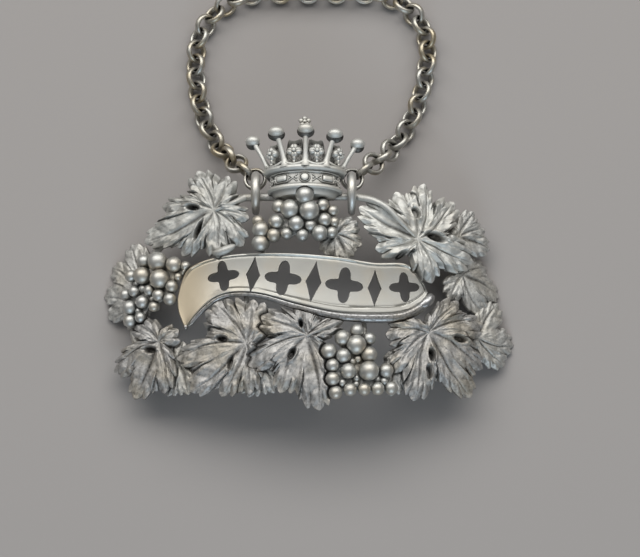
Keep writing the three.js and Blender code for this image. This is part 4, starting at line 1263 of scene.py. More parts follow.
@dataclass
class Scroll:
    """The banner: two rims round a polished pierced face, its lower edge rolled up towards the right."""

    base: float = SEAT
    thickness: float = 1.0
    rim_height: float = 0.24
    foot_rim: float = 1.15
    roll: tuple[float, float] = (0.36, 0.84)
    roll_out: float = 0.7
    motifs: int = 7
    motif_size: float = 0.31
    along: int = 240
    across: int = 60
    piercing_sides: int = 48
    roll_along: int = 220
    roll_sides: int = 30
    pressed: float = 0.15
    roll_pressed: float = 0.1
    crease: float = 42
    upper: tuple = ((-20.8, -11.1), (-22, -7.6), (-21.7, -4.2), (-19.8, -0.7), (-14, 1), (-5, 1.2), (4, 0.6),
                    (10.5, -0.3), (16.2, -0.3), (18.6, -2.8), (19.7, -4.9))
    lower: tuple = ((-20.3, -10.9), (-18.9, -9.2), (-16.9, -7.3), (-14.8, -6), (-11.6, -5.5), (-7.4, -6),
                    (-2, -7.7), (4.5, -9.2), (10.5, -9.4), (15.2, -8.9), (18.4, -7.2), (19.9, -5.4))

    def edges(self, count: int) -> tuple[np.ndarray, np.ndarray]:
        """The upper and the lower edge, each as count points."""
        return spaced(self.upper, count), spaced(self.lower, count)

    def roll_radius(self, share: np.ndarray) -> np.ndarray:
        """Radius of the roll along the lower edge, from 0 at its left end to 1 at its right."""
        return self.roll[0] + (self.roll[1] - self.roll[0]) * smooth(0.2, 0.85, share)

    def outline(self) -> Outline:
        """The banner's outline on the sheet, its roll included.

        Returns:
            The outline, under which leaves dive.
        """
        count = 90
        top, foot = self.edges(count)
        heading = headings(foot)
        reach = (1 + self.roll_out) * self.roll_radius(np.linspace(0, 1, count))
        foot = foot + np.column_stack([heading[:, 1], -heading[:, 0]]) * (reach - 0.15)[:, None]
        return Outline(np.vstack([top, foot[::-1]]))

    def skin(self) -> Shell:
        """The face with its rims.

        Returns:
            A closed skin, before it is pierced.
        """
        top, foot = self.edges(self.along)
        wide = np.linalg.norm(top - foot, axis=1)
        step = np.linspace(0, 1, self.across)
        rows, shades = [], []
        for k in range(self.along):
            far = step * wide[k]
            left = wide[k] - far
            # The tail at the left is plain; from there on both edges have a rim.
            begun = smooth(0.14, 0.24, k / self.along)
            in_top = smooth(0.62, 0.45, far) * begun
            in_foot = smooth(self.foot_rim + 0.12, self.foot_rim - 0.05, left) * begun
            inner = ridge(far, 0.68, 0.12) + ridge(left - self.foot_rim, 0.16, 0.12)
            edge = np.sqrt(np.clip(1 - (1 - np.clip(np.minimum(far, left) / 0.28, 0, 1)) ** 2, 0, 1))
            dish = -0.16 * np.sin(math.pi * step)
            up = self.thickness + self.rim_height * np.maximum(in_top, in_foot) + dish - 0.05 * inner * begun
            up = 0.35 + (up - 0.35) * edge
            shades.append(np.concatenate([0.30 * inner * begun, np.full(self.across - 2, 0.3)]))
            line = top[k] + step[:, None] * (foot[k] - top[k])
            front = np.column_stack([line, self.base + up])
            back = np.column_stack([line[1:-1][::-1], np.full(self.across - 2, self.base)])
            rows.append(np.vstack([front, back]))
        made = Shell()
        made.rows(np.array(rows), np.array(shades))
        return made

    def rolled_edge(self) -> Shell:
        """The roll along the lower edge, which ends in a small hook at the right and a knob at the left.

        Returns:
            A closed skin with fold lines.
        """
        line = spaced(self.lower, self.roll_along)
        share = np.linspace(0, 1, self.roll_along)
        radius = self.roll_radius(share) * np.sqrt(np.clip(np.minimum(share, 1 - share) / 0.02, 0.12, 1))
        heading = headings(line)
        out = np.column_stack([heading[:, 1], -heading[:, 0]])
        turn = circle(self.roll_sides)
        # The fold lines run along the roll, a little below its crest.
        fold = ridge(turn, 1.55, 0.14) + 0.7 * ridge(turn, 0.95, 0.10)
        size = radius[:, None] * (1 - 0.12 * fold[None])
        middle = line + out * (self.roll_out * radius)[:, None]
        rows = np.zeros((self.roll_along, self.roll_sides, 3))
        rows[..., :2] = middle[:, None] + out[:, None] * (size * np.cos(turn)[None])[..., None]
        seated = self.base + np.maximum(radius, 0.6 * self.thickness)[:, None]
        rows[..., 2] = seated + size * np.sin(turn)[None]
        made = Shell()
        made.rows(rows, 0.12 + 0.55 * fold[None])
        share = np.linspace(0, 1, 24)
        hook = spaced([(18.2, -7.9), (19.5, -7.0), (20.2, -6.1), (20.3, -5.3)], 24)
        hook = np.column_stack([hook, self.base + 0.92 + 0.2 * np.sin(math.pi * share)])
        wide = 0.92 * np.sqrt(np.clip(1.0 - share**6, 0.12, 1)) * (0.6 + 0.4 * smooth(0, 0.5, share))
        made.tube(hook, wide, 20)
        made.ball((-20.6, -11.0, self.base + 0.55), (0.42, 0.5, 0.45), 18)
        return made

    def motif(self, middle: np.ndarray, size: float, slope: float, lozenge: bool) -> Shell:
        """One piercing as a closed cutter.

        Args:
            middle: its middle in s and y.
            size: its half height.
            slope: how far it is turned, in radians.
            lozenge: whether it is a lozenge with hollow sides, and not a quatrefoil.

        Returns:
            The cutter, through the whole banner.
        """
        turn = circle(self.piercing_sides)
        if lozenge:
            u, v = 0.42 * squared(np.cos(turn), 2.2), 1.15 * squared(np.sin(turn), 2.2)
        else:
            r = 0.74 + 0.26 * np.cos(4 * turn)
            u, v = r * np.cos(turn), r * np.sin(turn)
        c, s = math.cos(slope), math.sin(slope)
        flat = middle + size * np.column_stack([u * c - v * s, u * s + v * c])
        rows = [np.column_stack([flat, np.full(len(turn), self.base + up)]) for up in (-0.6, 3.0)]
        made = Shell()
        made.rows(np.array(rows))
        return made

    def build(self, covers: list[Cover]) -> bpy.types.Object:
        """Builds the pierced banner and its roll.

        Args:
            covers: the leaves that lie over its ends.

        Returns:
            The dressed banner.
        """
        skin = self.skin()
        layout = dive(skin.layout(), covers, self.base + self.pressed)
        face = skin.mesh("scroll_face", SHEET.place(layout))
        steps = 600
        top, foot = self.edges(steps)
        cutter = Shell()
        for k in range(self.motifs):
            at = int(steps * (0.26 + 0.62 * k / (self.motifs - 1)))
            middle = (top[at] + foot[at]) / 2
            ahead = (top[at + 3] + foot[at + 3]) / 2 - middle
            size = self.motif_size * np.linalg.norm(top[at] - foot[at])
            cutter.take(self.motif(middle, size, math.atan2(ahead[1], ahead[0]), k % 2 == 1))
        tool = cutter.mesh("cutter", SHEET.place(cutter.layout()))
        cut = face.modifiers.new("pierce", "BOOLEAN")
        cut.operation = "DIFFERENCE"
        cut.solver = "EXACT"
        cut.object = tool
        face = joined("scroll_dressed", [plain(face, "scroll_pierced")])
        bpy.data.objects.remove(tool, do_unlink=True)
        sharpened(face, self.crease)
        roll = self.rolled_edge()
        low = dive(roll.layout(), covers, self.base + self.roll_pressed)
        dress(roll.mesh("scroll_roll_dressed", SHEET.place(low)), Finish.ROLL, "label", "scroll")
        return dress(face, Finish.SCROLL, "label", "scroll")


def sharpened(piece: bpy.types.Object, degrees: float) -> None:
    """Keeps smooth shading, but marks the edges that turn more than some degrees as sharp.

    Args:
        piece: the mesh object.
        degrees: the least turn of a sharp edge.
    """
    shape = bmesh.new()
    shape.from_mesh(piece.data)
    for edge in shape.edges:
        edge.smooth = len(edge.link_faces) != 2 or edge.calc_face_angle(0) < math.radians(degrees)
    shape.to_mesh(piece.data)
    shape.free()


@dataclass
class Bunch:
    """A bunch of grapes heaped on a flat pad."""

    name: str
    grapes: tuple[Point, ...]
    pads: tuple[tuple[int, int], ...]
    base: float = SEAT
    pad: float = 0.6
    swell: float = 1.18
    heap: float = 0.7
    raised: tuple[tuple[int, float], ...] = ()
    seed: int = 3
    sides: int = 28
    unevenness: float = 0.05
    spokes: int = 96
    tries: int = 900
    least_gap: float = 0.26
    largest_berry: float = 0.74
    pressed: float = 0.2

    def balls(self) -> np.ndarray:
        """Middle and radius of every grape.

        Returns:
            n by 4 array of s, y, h and radius.
        """
        g = np.array(self.grapes)
        middle = g[:, :2].mean(axis=0)
        far = np.linalg.norm(g[:, :2] - middle, axis=1)
        up = self.base + self.pad / 2 + 0.55 * g[:, 2] + self.heap * (1 - (far / far.max()) ** 2)
        for k, lift in self.raised:
            up[k] += lift
        return np.column_stack([g[:, :2], up, g[:, 2] * self.swell])

    def cover(self) -> Rounds:
        """Where the bunch lies over other pieces."""
        return Rounds(self.balls()[:, [0, 1, 3]])

    def ways(self) -> np.ndarray:
        """Unit vectors in every direction from the middle of a pad."""
        turn = circle(self.spokes)
        return np.column_stack([np.cos(turn), np.sin(turn)])

    def reach(self, balls: np.ndarray) -> np.ndarray:
        """How far a group of grapes reaches from its middle.

        Args:
            balls: middle and radius of each grape in it.

        Returns:
            The distance in each direction, held a little inside the grapes.
        """
        spread = Rounds(balls[:, [0, 1, 3]])
        middle = balls[:, :2].mean(axis=0)
        way = self.ways()
        far = np.zeros(self.spokes)
        for step in np.linspace(0.2, 14, 140):
            far = np.where(spread.distance(middle + way * step) < 0, step, far)
        return np.minimum(far, np.minimum(np.roll(far, 1), np.roll(far, -1)) + 0.3) * 0.93

    def fillers(self, balls: np.ndarray) -> np.ndarray:
        """The small berries that fill the gaps between the grapes.

        Args:
            balls: middle and radius of every grape.

        Returns:
            The same for each small berry.
        """
        rng = np.random.default_rng(self.seed)
        made = []
        for first, last in self.pads:
            own = balls[first:last]
            low, high = own[:, :2].min(axis=0), own[:, :2].max(axis=0)
            spread = Rounds(own[:, [0, 1, 3]] + (0, 0, 0.9))
            inner = self.reach(own)
            for at in rng.uniform(low, high, (self.tries, 2)):
                taken = np.array([*balls, *made])
                gap = (np.linalg.norm(taken[:, :2] - at, axis=1) - taken[:, 3]).min()
                way = at - own[:, :2].mean(axis=0)
                turn = math.atan2(way[1], way[0]) % (2 * math.pi)
                spoke = int(turn / (2 * math.pi) * self.spokes) % self.spokes
                within = np.linalg.norm(way) < inner[spoke] - 0.3
                if gap > self.least_gap and within and spread.distance(at[None])[0] < 0:
                    r = min(gap + 0.34, self.largest_berry)
                    made.append([*at, self.base + self.pad + 0.35 * r, r])
        return np.array(made).reshape(-1, 4)

    def tree(self) -> bpy.types.NodeTree:
        """A node tree that sets a slightly uneven ball on every point, as large as its berry attribute.

        Returns:
            The tree.
        """
        tree, nodes, given = node_tree(
            "berries", Sides=self.sides, Unevenness=self.unevenness, Seed=self.seed, Material=None)
        half = nodes.maths("MULTIPLY", given["Sides"], 0.5)
        ball = nodes.add("GeometryNodeMeshUVSphere", Segments=given["Sides"], Rings=half, Radius=1.0)
        size = nodes.add("GeometryNodeInputNamedAttribute", {"data_type": "FLOAT"}, Name="berry").outputs[0]
        vary = nodes.add("FunctionNodeRandomValue", {"data_type": "FLOAT"}, Seed=given["Seed"])
        low, high = [socket for socket in vary.inputs if socket.type == "VALUE"][:2]
        low.default_value, high.default_value = -1.0, 0.0
        spread = [socket for socket in vary.outputs if socket.type == "VALUE"][0]
        factor = nodes.maths("MULTIPLY_ADD", spread, given["Unevenness"], 1.0)
        scale = nodes.maths("MULTIPLY", size, factor)
        points = nodes.add("GeometryNodeMeshToPoints", Mesh=given["Geometry"]).outputs[0]
        placed = {"Points": points, "Instance": ball.outputs[0], "Scale": scale}
        heap = nodes.add("GeometryNodeInstanceOnPoints", **placed).outputs[0]
        closed_tree(nodes, heap, given["Material"])
        return tree

    def ground(self, balls: np.ndarray) -> bpy.types.Object:
        """The flat pad under some grapes: a low pebbled mound inside their common outline.

        Args:
            balls: middle and radius of each of these grapes.

        Returns:
            The pad.
        """
        middle = balls[:, :2].mean(axis=0)
        far = self.reach(balls)
        way = self.ways()
        rows = [np.column_stack([middle + way * far[:, None], np.full(self.spokes, self.base)])]
        for share in (1.0, 0.95, 0.88, 0.8, 0.72, 0.64, 0.56, 0.48, 0.4, 0.3, 0.2, 0.1):
            s, y = (middle + way * (far * share)[:, None]).T
            pebble = np.abs(np.sin(3.4 * s) * np.sin(3.4 * y))
            rows.append(np.column_stack([s, y, self.base + self.pad * (0.75 + 0.45 * pebble * (share < 1))]))
        made = Shell()
        made.rows(np.array(rows), 0.3)
        return made.mesh("pad", SHEET.place(made.layout()))

    def build(self, covers: list[Cover]) -> bpy.types.Object:
        """Builds the bunch.

        Args:
            covers: outlines of what lies over it.

        Returns:
            The dressed object.
        """
        balls = self.balls()
        berries = np.vstack([balls, self.fillers(balls)])
        seeds = bpy.data.meshes.new("seeds")
        seeds.from_pydata(SHEET.place(berries[:, :3]).tolist(), [], [])
        berry = seeds.attributes.new("berry", "FLOAT", "POINT")
        berry.data.foreach_set("value", (berries[:, 3] * MM).astype(np.float32))
        inputs = {"Sides": self.sides, "Unevenness": self.unevenness, "Seed": self.seed}
        pieces = [baked(linked("seeds", seeds), self.tree(), inputs, self.name)]
        pieces += [self.ground(balls[first:last]) for first, last in self.pads]
        whole = joined(f"{self.name}_dressed", pieces)
        low = dive(unbend(whole), covers, self.base + self.pressed)
        whole.data.vertices.foreach_set("co", SHEET.place(low).ravel())
        return dress(whole, Finish.GRAPE, "label", self.name)


def unbend(piece: bpy.types.Object) -> np.ndarray:
    """The layout points of a piece that is already bent and placed.

    Args:
        piece: an object with its vertices in the frame.

    Returns:
        n by 3 array of s, y and h in millimetres.
    """
    at = (vertices(piece.data) - SHEET.origin()) / MM
    turn = np.arctan2(at[:, 0], at[:, 2] + SHEET.radius)
    up = np.hypot(at[:, 0], at[:, 2] + SHEET.radius) - SHEET.radius
    return np.column_stack([turn * SHEET.radius, at[:, 1], up])


BUNCHES = {bunch.name: bunch for bunch in (
    Bunch(
        "grapes_left",
        ((-25.4, 0.6, 1.47), (-28.2, 1.0, 1.0), (-22.6, -0.1, 1.19), (-28.2, -1.6, 1.3), (-30.5, -1.4, 0.95),
         (-24.9, -2.5, 1.5), (-22.9, -3.9, 0.95), (-31.6, -4.6, 0.9), (-29.8, -4.2, 0.85), (-30.7, -6.9, 1.1),
         (-28.2, -6.2, 1.0), (-26.9, -4.3, 0.85), (-25.2, -5.3, 0.95), (-23.2, -6.1, 0.95),
         (-26.1, -7.2, 0.8), (-30.8, -9.2, 1.0), (-28.7, -8.8, 0.85), (-20.7, -0.4, 0.75),
         (-20.6, -1.6, 0.6)),
        ((0, 19),)),
    Bunch(
        "grapes_middle",
        ((-0.6, 10.8, 1.4), (-3.0, 8.6, 1.4), (0.1, 8.3, 1.5), (-4.9, 9.2, 1.0), (2.3, 9.4, 1.0),
         (4.0, 8.5, 0.85), (-2.0, 6.1, 1.2), (0.3, 5.8, 0.9), (2.6, 6.8, 1.05), (4.2, 6.5, 0.8),
         (1.8, 4.5, 1.2), (3.8, 4.7, 0.9), (-3.6, 4.4, 0.9), (-1.0, 4.1, 0.95), (-5.3, 6.5, 1.1),
         (-7.8, 5.2, 1.3), (-8.3, 6.8, 0.9), (-7.9, 2.9, 1.3), (-5.7, 4.2, 1.05)),
        ((0, 15), (14, 19)), raised=((0, 1.1), (1, 0.2), (2, 0.4)), seed=5),
    Bunch(
        "grapes_right",
        ((7.9, -12.3, 1.05), (5.5, -13.6, 1.2), (9.9, -13.6, 1.0), (7.7, -14.8, 1.5), (3.3, -15.9, 1.15),
         (5.6, -16.7, 1.15), (9.8, -16.4, 1.2), (3.9, -18.3, 1.0), (6.4, -19.3, 1.2), (9.7, -19.2, 1.45),
         (12.6, -19.0, 1.1), (3.9, -20.6, 1.05), (4.4, -22.9, 1.0), (6.7, -22.4, 1.0), (9.0, -22.3, 0.95),
         (11.2, -22.1, 1.0), (13.5, -21.9, 1.0)),
        ((0, 17),), seed=7),
)}


@dataclass
class Coronet:
    """The half-round coronet: a band with jewels, leaf ornaments, and five stalks with pearls."""

    radius: float = 6.35
    depth: float = 3.7
    lean: float = 8.0
    at: tuple[float, float] = (-0.6, 11.15)
    lift: float = 0.4
    band: float = 4.6
    point: float = 5.9
    flare: float = 2.7
    pearl: float = 1.2
    finial_rise: float = 1.4
    rim: float = 7.25
    points: tuple[tuple[float, float], ...] = ((-77, 0.35), (-30, -0.25), (1, -0.2), (32, -0.6), (77, -0.2))
    jewels: tuple[float, ...] = (-40, 0, 40)
    crosses: tuple[float, ...] = (-74, -64, -20, 20, 64, 74)
    pressed: float = 1.5
    margin: float = -0.22
    crease: float = 55
    shell: Shell = field(default_factory=Shell)

    def on_round(self, turn: Value, r: Value, up: Value) -> np.ndarray:
        """A point on the coronet's round, in its own frame.

        Args:
            turn: radians from the front.
            r: distance from its axis, as seen from the front.
            up: height over its foot.

        Returns:
            Points as across, up and out.
        """
        turn, r, up = np.broadcast_arrays(turn, r, up)
        out = r * np.cos(turn) * self.depth / self.radius
        return np.stack([r * np.sin(turn), up, out], axis=-1).astype(float)

    def spot(self, degrees: float, share: float, up: float) -> tuple[np.ndarray, np.ndarray, np.ndarray]:
        """A place on the band, and the way that it faces.

        Args:
            degrees: where it is, round the band.
            share: its distance from the axis, as a share of the radius.
            up: height over the foot.

        Returns:
            The place, and unit vectors to its right and out of it.
        """
        turn = math.radians(degrees)
        across = np.array([math.cos(turn), 0, -math.sin(turn) * self.depth / self.radius])
        across /= np.linalg.norm(across)
        return self.on_round(turn, self.radius * share, up), across, np.cross(across, UP)

    def to_layout(self, local: np.ndarray) -> np.ndarray:
        """Leans points back and moves them to their place on the sheet.

        Args:
            local: n by 3 array of across, up and out.

        Returns:
            n by 3 array of s, y and h.
        """
        c, s = math.cos(math.radians(self.lean)), math.sin(math.radians(self.lean))
        x, up, out = local.T
        y, h = up * c + out * s + self.at[1], out * c - up * s + SEAT + self.lift
        return np.stack([x + self.at[0], y, h], axis=1)

    def drum(self) -> None:
        """Adds the band with its two rims."""
        bead = np.linspace(-0.5 * math.pi, 0.5 * math.pi, 9)
        low = np.column_stack([0.90 + 0.085 * np.cos(bead), 0.72 + 0.42 * np.sin(bead)])
        proud = self.rim / self.radius - 0.94
        high = np.column_stack([0.94 + proud * np.cos(bead), 4.0 + 0.62 * np.sin(bead)])
        second = np.column_stack([0.90 + 0.05 * np.cos(bead), 3.28 + 0.16 * np.sin(bead)])
        foot = np.array([(0.2, -0.6), (0.76, -0.6), (0.80, -0.3), (0.86, 0.15)])
        wall = np.array([(0.875, 1.3), (0.87, 1.7), (0.87, 2.2), (0.87, 2.7), (0.875, 3.0)])
        head = np.array([(0.90, self.band), (0.84, self.band), (0.2, self.band)])
        share, up = np.vstack([foot, low, wall, second, high, head]).T
        # Oxide lies on the wall and in the corners between the mouldings.
        dark = np.full(len(share), 0.05)
        dark[[3, 4, 12, 18, 27, 28, 36]] = 0.5
        dark[13:18] = 0.3
        turn = np.radians(np.linspace(-96, 96, 97))[:, None]
        # The upper rim has a notch in the middle and comes in at its ends.
        cut = 0.5 * ridge(np.degrees(turn), 0, 2.2) + 0.3 * smooth(1.2, 1.5, np.abs(turn))
        r = share * self.radius - cut * smooth(0.98, 1.12, share) * (up > 3.5)
        self.shell.rows(self.on_round(turn, r, up), np.maximum(dark, smooth(1.5, 1.62, np.abs(turn)) * 0.9))

    def jewel(self, degrees: float) -> None:
        """Adds one jewel in its setting: round in front and oblong at the sides.

        Args:
            degrees: where it sits, round the band.
        """
        wide, tall, power = (0.62, 0.62, 1.0) if degrees == 0 else (0.9, 0.48, 0.35)
        middle, across, out = self.spot(degrees, 0.885, self.band / 2 - 0.1)
        turn = circle(36)[:, None] + math.pi / 36
        c, s = squared(np.cos(turn), power), squared(np.sin(turn), power)
        # Each ring: how far it stands outside the jewel, how high it is, and how dark.
        rings = ((0.32, -0.5, 0.6), (0.32, 0.12, 0.4), (0.24, 0.22, 0.1), (0.12, 0.16, 0.5), (0.04, 0.0, 0.8),
                 (-0.02, 0.34, 0.0), (-0.16, 0.44, 0.0), (-0.34, 0.46, 0.0))
        rows = [middle + across * ((wide + grown) * c) + out * lift + UP * ((tall + grown) * s)
                for grown, lift, _ in rings]
        self.shell.rows(np.array(rows), np.array(rings)[:, 2:])

    def beads(self) -> None:
        """Adds the small crossed bars between the jewels, with beads on them."""
        for degrees in self.crosses:
            middle, across, _ = self.spot(degrees, 0.89, self.band / 2 - 0.1)
            reach = 0.75 if abs(degrees) == 20 else 0.5
            for way in (-0.62, 0.62):
                half = reach * across + way * UP
                self.shell.tube(np.linspace(middle - half, middle + half, 8), np.full(8, 0.13), 8, 0.25)
            for side in (-0.75, 0, 0.75):
                self.shell.ball(middle + side * reach * across, (0.2, 0.2, 0.2), 12, 0.05)

    def arcade(self) -> None:
        """Adds the small hanging arches between the stalks' feet, each with a drop."""
        share = np.linspace(-1, 1, 22)
        up = self.band - 0.15 + 0.75 * np.abs(share) ** 2.2
        for (a, _), (b, _) in zip(self.points, self.points[1:]):
            path = self.on_round(np.radians(np.linspace(a, b, 22)), self.radius * 1.05, up)
            self.shell.tube(path, np.full(22, 0.26), 12, 0.05)
            middle = self.on_round(math.radians((a + b) / 2), self.radius * 1.06, self.band + 0.35)
            self.shell.ball(middle, (0.24, 0.34, 0.24), 14)

    def stalk(self, degrees: float, lift: float) -> None:
        """Adds one stalk with its pearl.

        Args:
            degrees: where it stands, round the band.
            lift: how far its pearl is off the even curve.
        """
        turn = math.radians(degrees)
        up = self.point * (0.8 + 0.2 * math.cos(turn)) + lift
        share = np.linspace(0, 1, 20)
        r = self.radius * 0.96 + (self.radius * 0.04 + self.flare) * share**1.2
        path = self.on_round(turn, r, self.band - 0.5 + (up + 0.5) * share)
        wide = 0.38 + 0.75 * np.exp(-share / 0.12) + 0.06 * smooth(0.6, 0.95, share)
        self.shell.tube(path, wide, 18, 0.04, flat=0.8)
        # A dark ball below each pearl paints the shade on its underside; those at the sides are smaller and
        # leave room for the rings.
        shade_width = 1.16 if abs(degrees) < 60 else 0.98
        below = path[-1] - (0, 0.28, 0.55)
        self.shell.ball(below, (self.pearl * shade_width, self.pearl * 0.98, self.pearl * 0.8), 28, 0.85)
        self.shell.ball(path[-1], (self.pearl * 1.04, self.pearl * 0.76, self.pearl * 0.9), 32)

    def ornament(self, degrees: float) -> None:
        """Adds one of the small flowers that stand between the stalks.

        Args:
            degrees: where it stands, round the band.
        """
        base, across, out = self.spot(degrees, 0.99, self.band - 0.2)
        # Each petal: aside, up, half width, half height and tilt.
        petals = ((0, 2.95, 0.60, 0.62, 0), (-0.62, 2.3, 0.60, 0.60, 1.3), (0.62, 2.3, 0.60, 0.60, -1.3),
                  (0, 1.75, 0.52, 0.55, 0), (0, 1.05, 0.24, 0.45, 0))
        for aside, up, half, tall, tilt in petals:
            middle = base + across * aside + UP * up + out * (0.25 + 0.16 * up)
            self.petal(middle, across, out, half, tall, tilt)
        self.shell.ball(base + UP * 2.35 + out * 0.98, (0.36, 0.36, 0.3), 14)

    def petal(self, middle: np.ndarray, across: np.ndarray, out: np.ndarray, half: float, tall: float,
              tilt: float) -> None:
        """Adds a small domed petal with a groove down its middle.

        Args:
            middle: its middle.
            across: unit vector to its right.
            out: unit vector out of its face.
            half: half its width.
            tall: half its height.
            tilt: how far its head leans sideways, in radians.
        """
        turn = circle(28)[:, None]
        c, s = math.cos(tilt), math.sin(tilt)
        rows, dark = [], []
        for share in (1.0, 1.0, 0.92, 0.75, 0.5, 0.25, 0.08):
            u, v = half * share * np.cos(turn), tall * share * np.sin(turn)
            groove = ridge(u, 0, 0.14) * (share < 0.95)
            lift = 0.5 * math.sqrt(1 - share**2) - 0.14 * groove
            if not rows:
                lift = lift - 0.55
            rows.append(middle + across * (u * c - v * s) + UP * (u * s + v * c) + out * lift)
            dark.append(0.25 * groove[:, 0])
        self.shell.rows(np.array(rows), np.array(dark))

    def back_plate(self) -> None:
        """Adds the hatched plate behind the stalks, with a curled head between each two of them."""
        columns, rows_up = 161, 30
        half = self.radius * 0.90
        x = np.linspace(-half, half, columns)
        spots = np.array([math.sin(math.radians(turn)) for turn, _ in self.points]) * self.radius * 1.06
        head = np.zeros(columns)
        inner = np.zeros(columns)
        for a, b in zip(spots, spots[1:]):
            within = np.clip((x - a) / (b - a), 0, 1) * ((x >= a) & (x <= b))
            flat = smooth(0.0, 0.2, within) * smooth(1.0, 0.8, within)
            head = np.maximum(head, flat * (1 - 0.10 * np.sin(math.pi * within) ** 4))
            inner = np.maximum(inner, smooth(0.02, 0.12, within) * smooth(0.98, 0.88, within))
        top = self.band + (0.40 + 0.52 * head - 0.20 * (x / half) ** 2) * self.point
        share = np.linspace(0, 1, rows_up)
        made, dark = [], []
        for k in range(columns):
            up = 0.6 + (top[k] - 0.6) * share
            sunk = inner[k] * smooth(top[k] - 0.22, top[k] - 0.45, up)
            hatch = np.abs(np.sin((x[k] + up) * 5.5)) * np.abs(np.sin((x[k] - up) * 5.5))
            front = 1.7 - 0.7 * sunk + 0.22 * hatch * sunk
            face = np.column_stack([np.full(rows_up, x[k]), up, front])
            back = np.column_stack([np.full(rows_up, x[k]), up, np.full(rows_up, 0.05)])[::-1]
            made.append(np.vstack([face, back]))
            # The sunk panels are coloured dark: oxide in the hatching, and painted shade on the coronet's
            # inner back wall.
            dark.append(np.concatenate([sunk * (0.88 - 0.5 * hatch), np.full(rows_up, 0.4)]))
        self.shell.rows(np.array(made), np.array(dark))

    def finial(self) -> None:
        """Adds the small flower on the middle point."""
        up = self.band + self.point + self.finial_rise
        out = (self.radius + self.flare - 1.2) * self.depth / self.radius
        shank = np.linspace((0, self.band + self.point * 0.9, out - 0.2), (0, up, out), 6)
        self.shell.tube(shank, np.full(6, 0.3), 12)
        for k in range(5):
            turn = math.pi / 2 + 2 * math.pi * k / 5
            petal = (0.62 * math.cos(turn), up + 0.62 * math.sin(turn), out)
            self.shell.ball(petal, (0.42, 0.42, 0.4), 16, 0.05)
        self.shell.ball((0, up, out + 0.12), (0.4, 0.4, 0.45), 16)

    def build(self, covers: list[Cover]) -> bpy.types.Object:
        """Builds the coronet.

        Args:
            covers: the grapes over its foot.

        Returns:
            The dressed object.
        """
        self.drum()
        self.back_plate()
        for degrees in self.jewels:
            self.jewel(degrees)
        self.beads()
        self.arcade()
        for degrees, lift in self.points:
            self.stalk(degrees, lift)
        for (a, _), (b, _) in zip(self.points, self.points[1:]):
            self.ornament((a + b) / 2)
        self.finial()
        layout = self.to_layout(self.shell.layout())
        layout[:, 2] = np.maximum(layout[:, 2], SEAT)
        layout = dive(layout, covers, SEAT + self.pressed, self.margin)
        piece = self.shell.mesh("coronet_dressed", SHEET.place(layout))
        sharpened(piece, self.crease)
        return dress(piece, Finish.CORONET, "label", "coronet")


@dataclass
class Chain:
    """The two hanging rings and the links between them, each on its own body."""

    link_radius: float = 1.75
    link_wire: tuple[float, float] = (0.57, 0.40)
    first_links: float = 0.90
    other_links: float = 0.955
    ring_radius: float = 3.1
    ring_wire: tuple[float, float] = (0.83, 0.83)
    ring_sizes: tuple[float, float] = (0.885, 0.105)
    heavy_side: Point = (0, math.cos(math.pi / 3), math.sin(math.pi / 3))
    links_a_side: int = 23
    sides: int = 16
    around: int = 56
    hammered: float = 0.02

    def axis_of(self, node: str) -> tuple[np.ndarray, np.ndarray]:
        """Where a round CAD node lies.

        Args:
            node: its name.

        Returns:
            Its middle, and the direction through its hole.
        """
        points = vertices(frame["nodes"][node].data)
        middle = (points.max(axis=0) + points.min(axis=0)) / 2
        centred = points - points.mean(axis=0)
        _, directions = np.linalg.eigh(centred.T @ centred)
        return middle, directions[:, 0]

    def loop(self, node: str, radius: float, wire: tuple[float, float], sizes: tuple[float, float], seed: int,
             tree: bpy.types.NodeTree) -> bpy.types.Object:
        """Makes one link or ring where its node lies.

        Args:
            node: name of the node that it stands for.
            radius: to the middle of its wire.
            wire: half width of the wire, along the direction through the hole, and half its thickness.
            sizes: the wire's relative size, and how much that grows towards the heavy side.
            seed: seed of its unevenness.
            tree: the bar's node tree.

        Returns:
            The mesh object, in its place.
        """
        middle, axis = self.axis_of(node)
        turn = circle(self.around)
        path = np.column_stack([radius * np.cos(turn), radius * np.sin(turn), np.zeros(self.around)]) * MM
        basis = np.array(Vector(axis).to_track_quat("Z", "Y").to_matrix())
        size, swell = sizes
        radii = size + swell * ((path @ basis.T) / MM / radius) @ np.array(self.heavy_side)
        inputs = {"Sides": self.sides, "Width": wire[0] * MM, "Thickness": wire[1] * MM,
                  "Unevenness": self.hammered * MM, "Grain": 700.0, "Detail": 2.0, "Level": 0.6, "Seed": seed}
        made = baked(curve_object(node, path, radii, True), tree, inputs, f"{node}_dressed")
        made.data.transform(Matrix.Translation(middle) @ Matrix(basis.tolist()).to_4x4())
        return made

    def build(self) -> None:
        """Builds rings and links, each dressed and riding on its own body."""
        tree = bar_tree()
        for side in ("left", "right"):
            name = f"ring_{side}"
            ring = self.loop(name, self.ring_radius, self.ring_wire, self.ring_sizes, 1, tree)
            dress(ring, Finish.RING, name, name)
            for k in range(self.links_a_side):
                name = f"chain_{side}_{k + 1:02d}"
                size = self.first_links if k < 2 else self.other_links
                link = self.loop(name, self.link_radius, self.link_wire, (size, 0.0), k + 3, tree)
                dress(link, Finish.LINK, name, name)


@dataclass(frozen=True)
class Lamp:
    """A soft panel of light: where it hangs and what it faces, in metres, and its power in watts."""

    name: str
    at: Point
    target: Point
    size: tuple[float, float]
    power: float
    colour: Colour

    def hang(self) -> None:
        """Puts it in the scene."""
        light = bpy.data.lights.new(self.name, "AREA")
        light.shape = "RECTANGLE"
        light.size, light.size_y = self.size
        light.energy = self.power
        light.color = self.colour
        aim(linked(self.name, light), self.at, self.target)


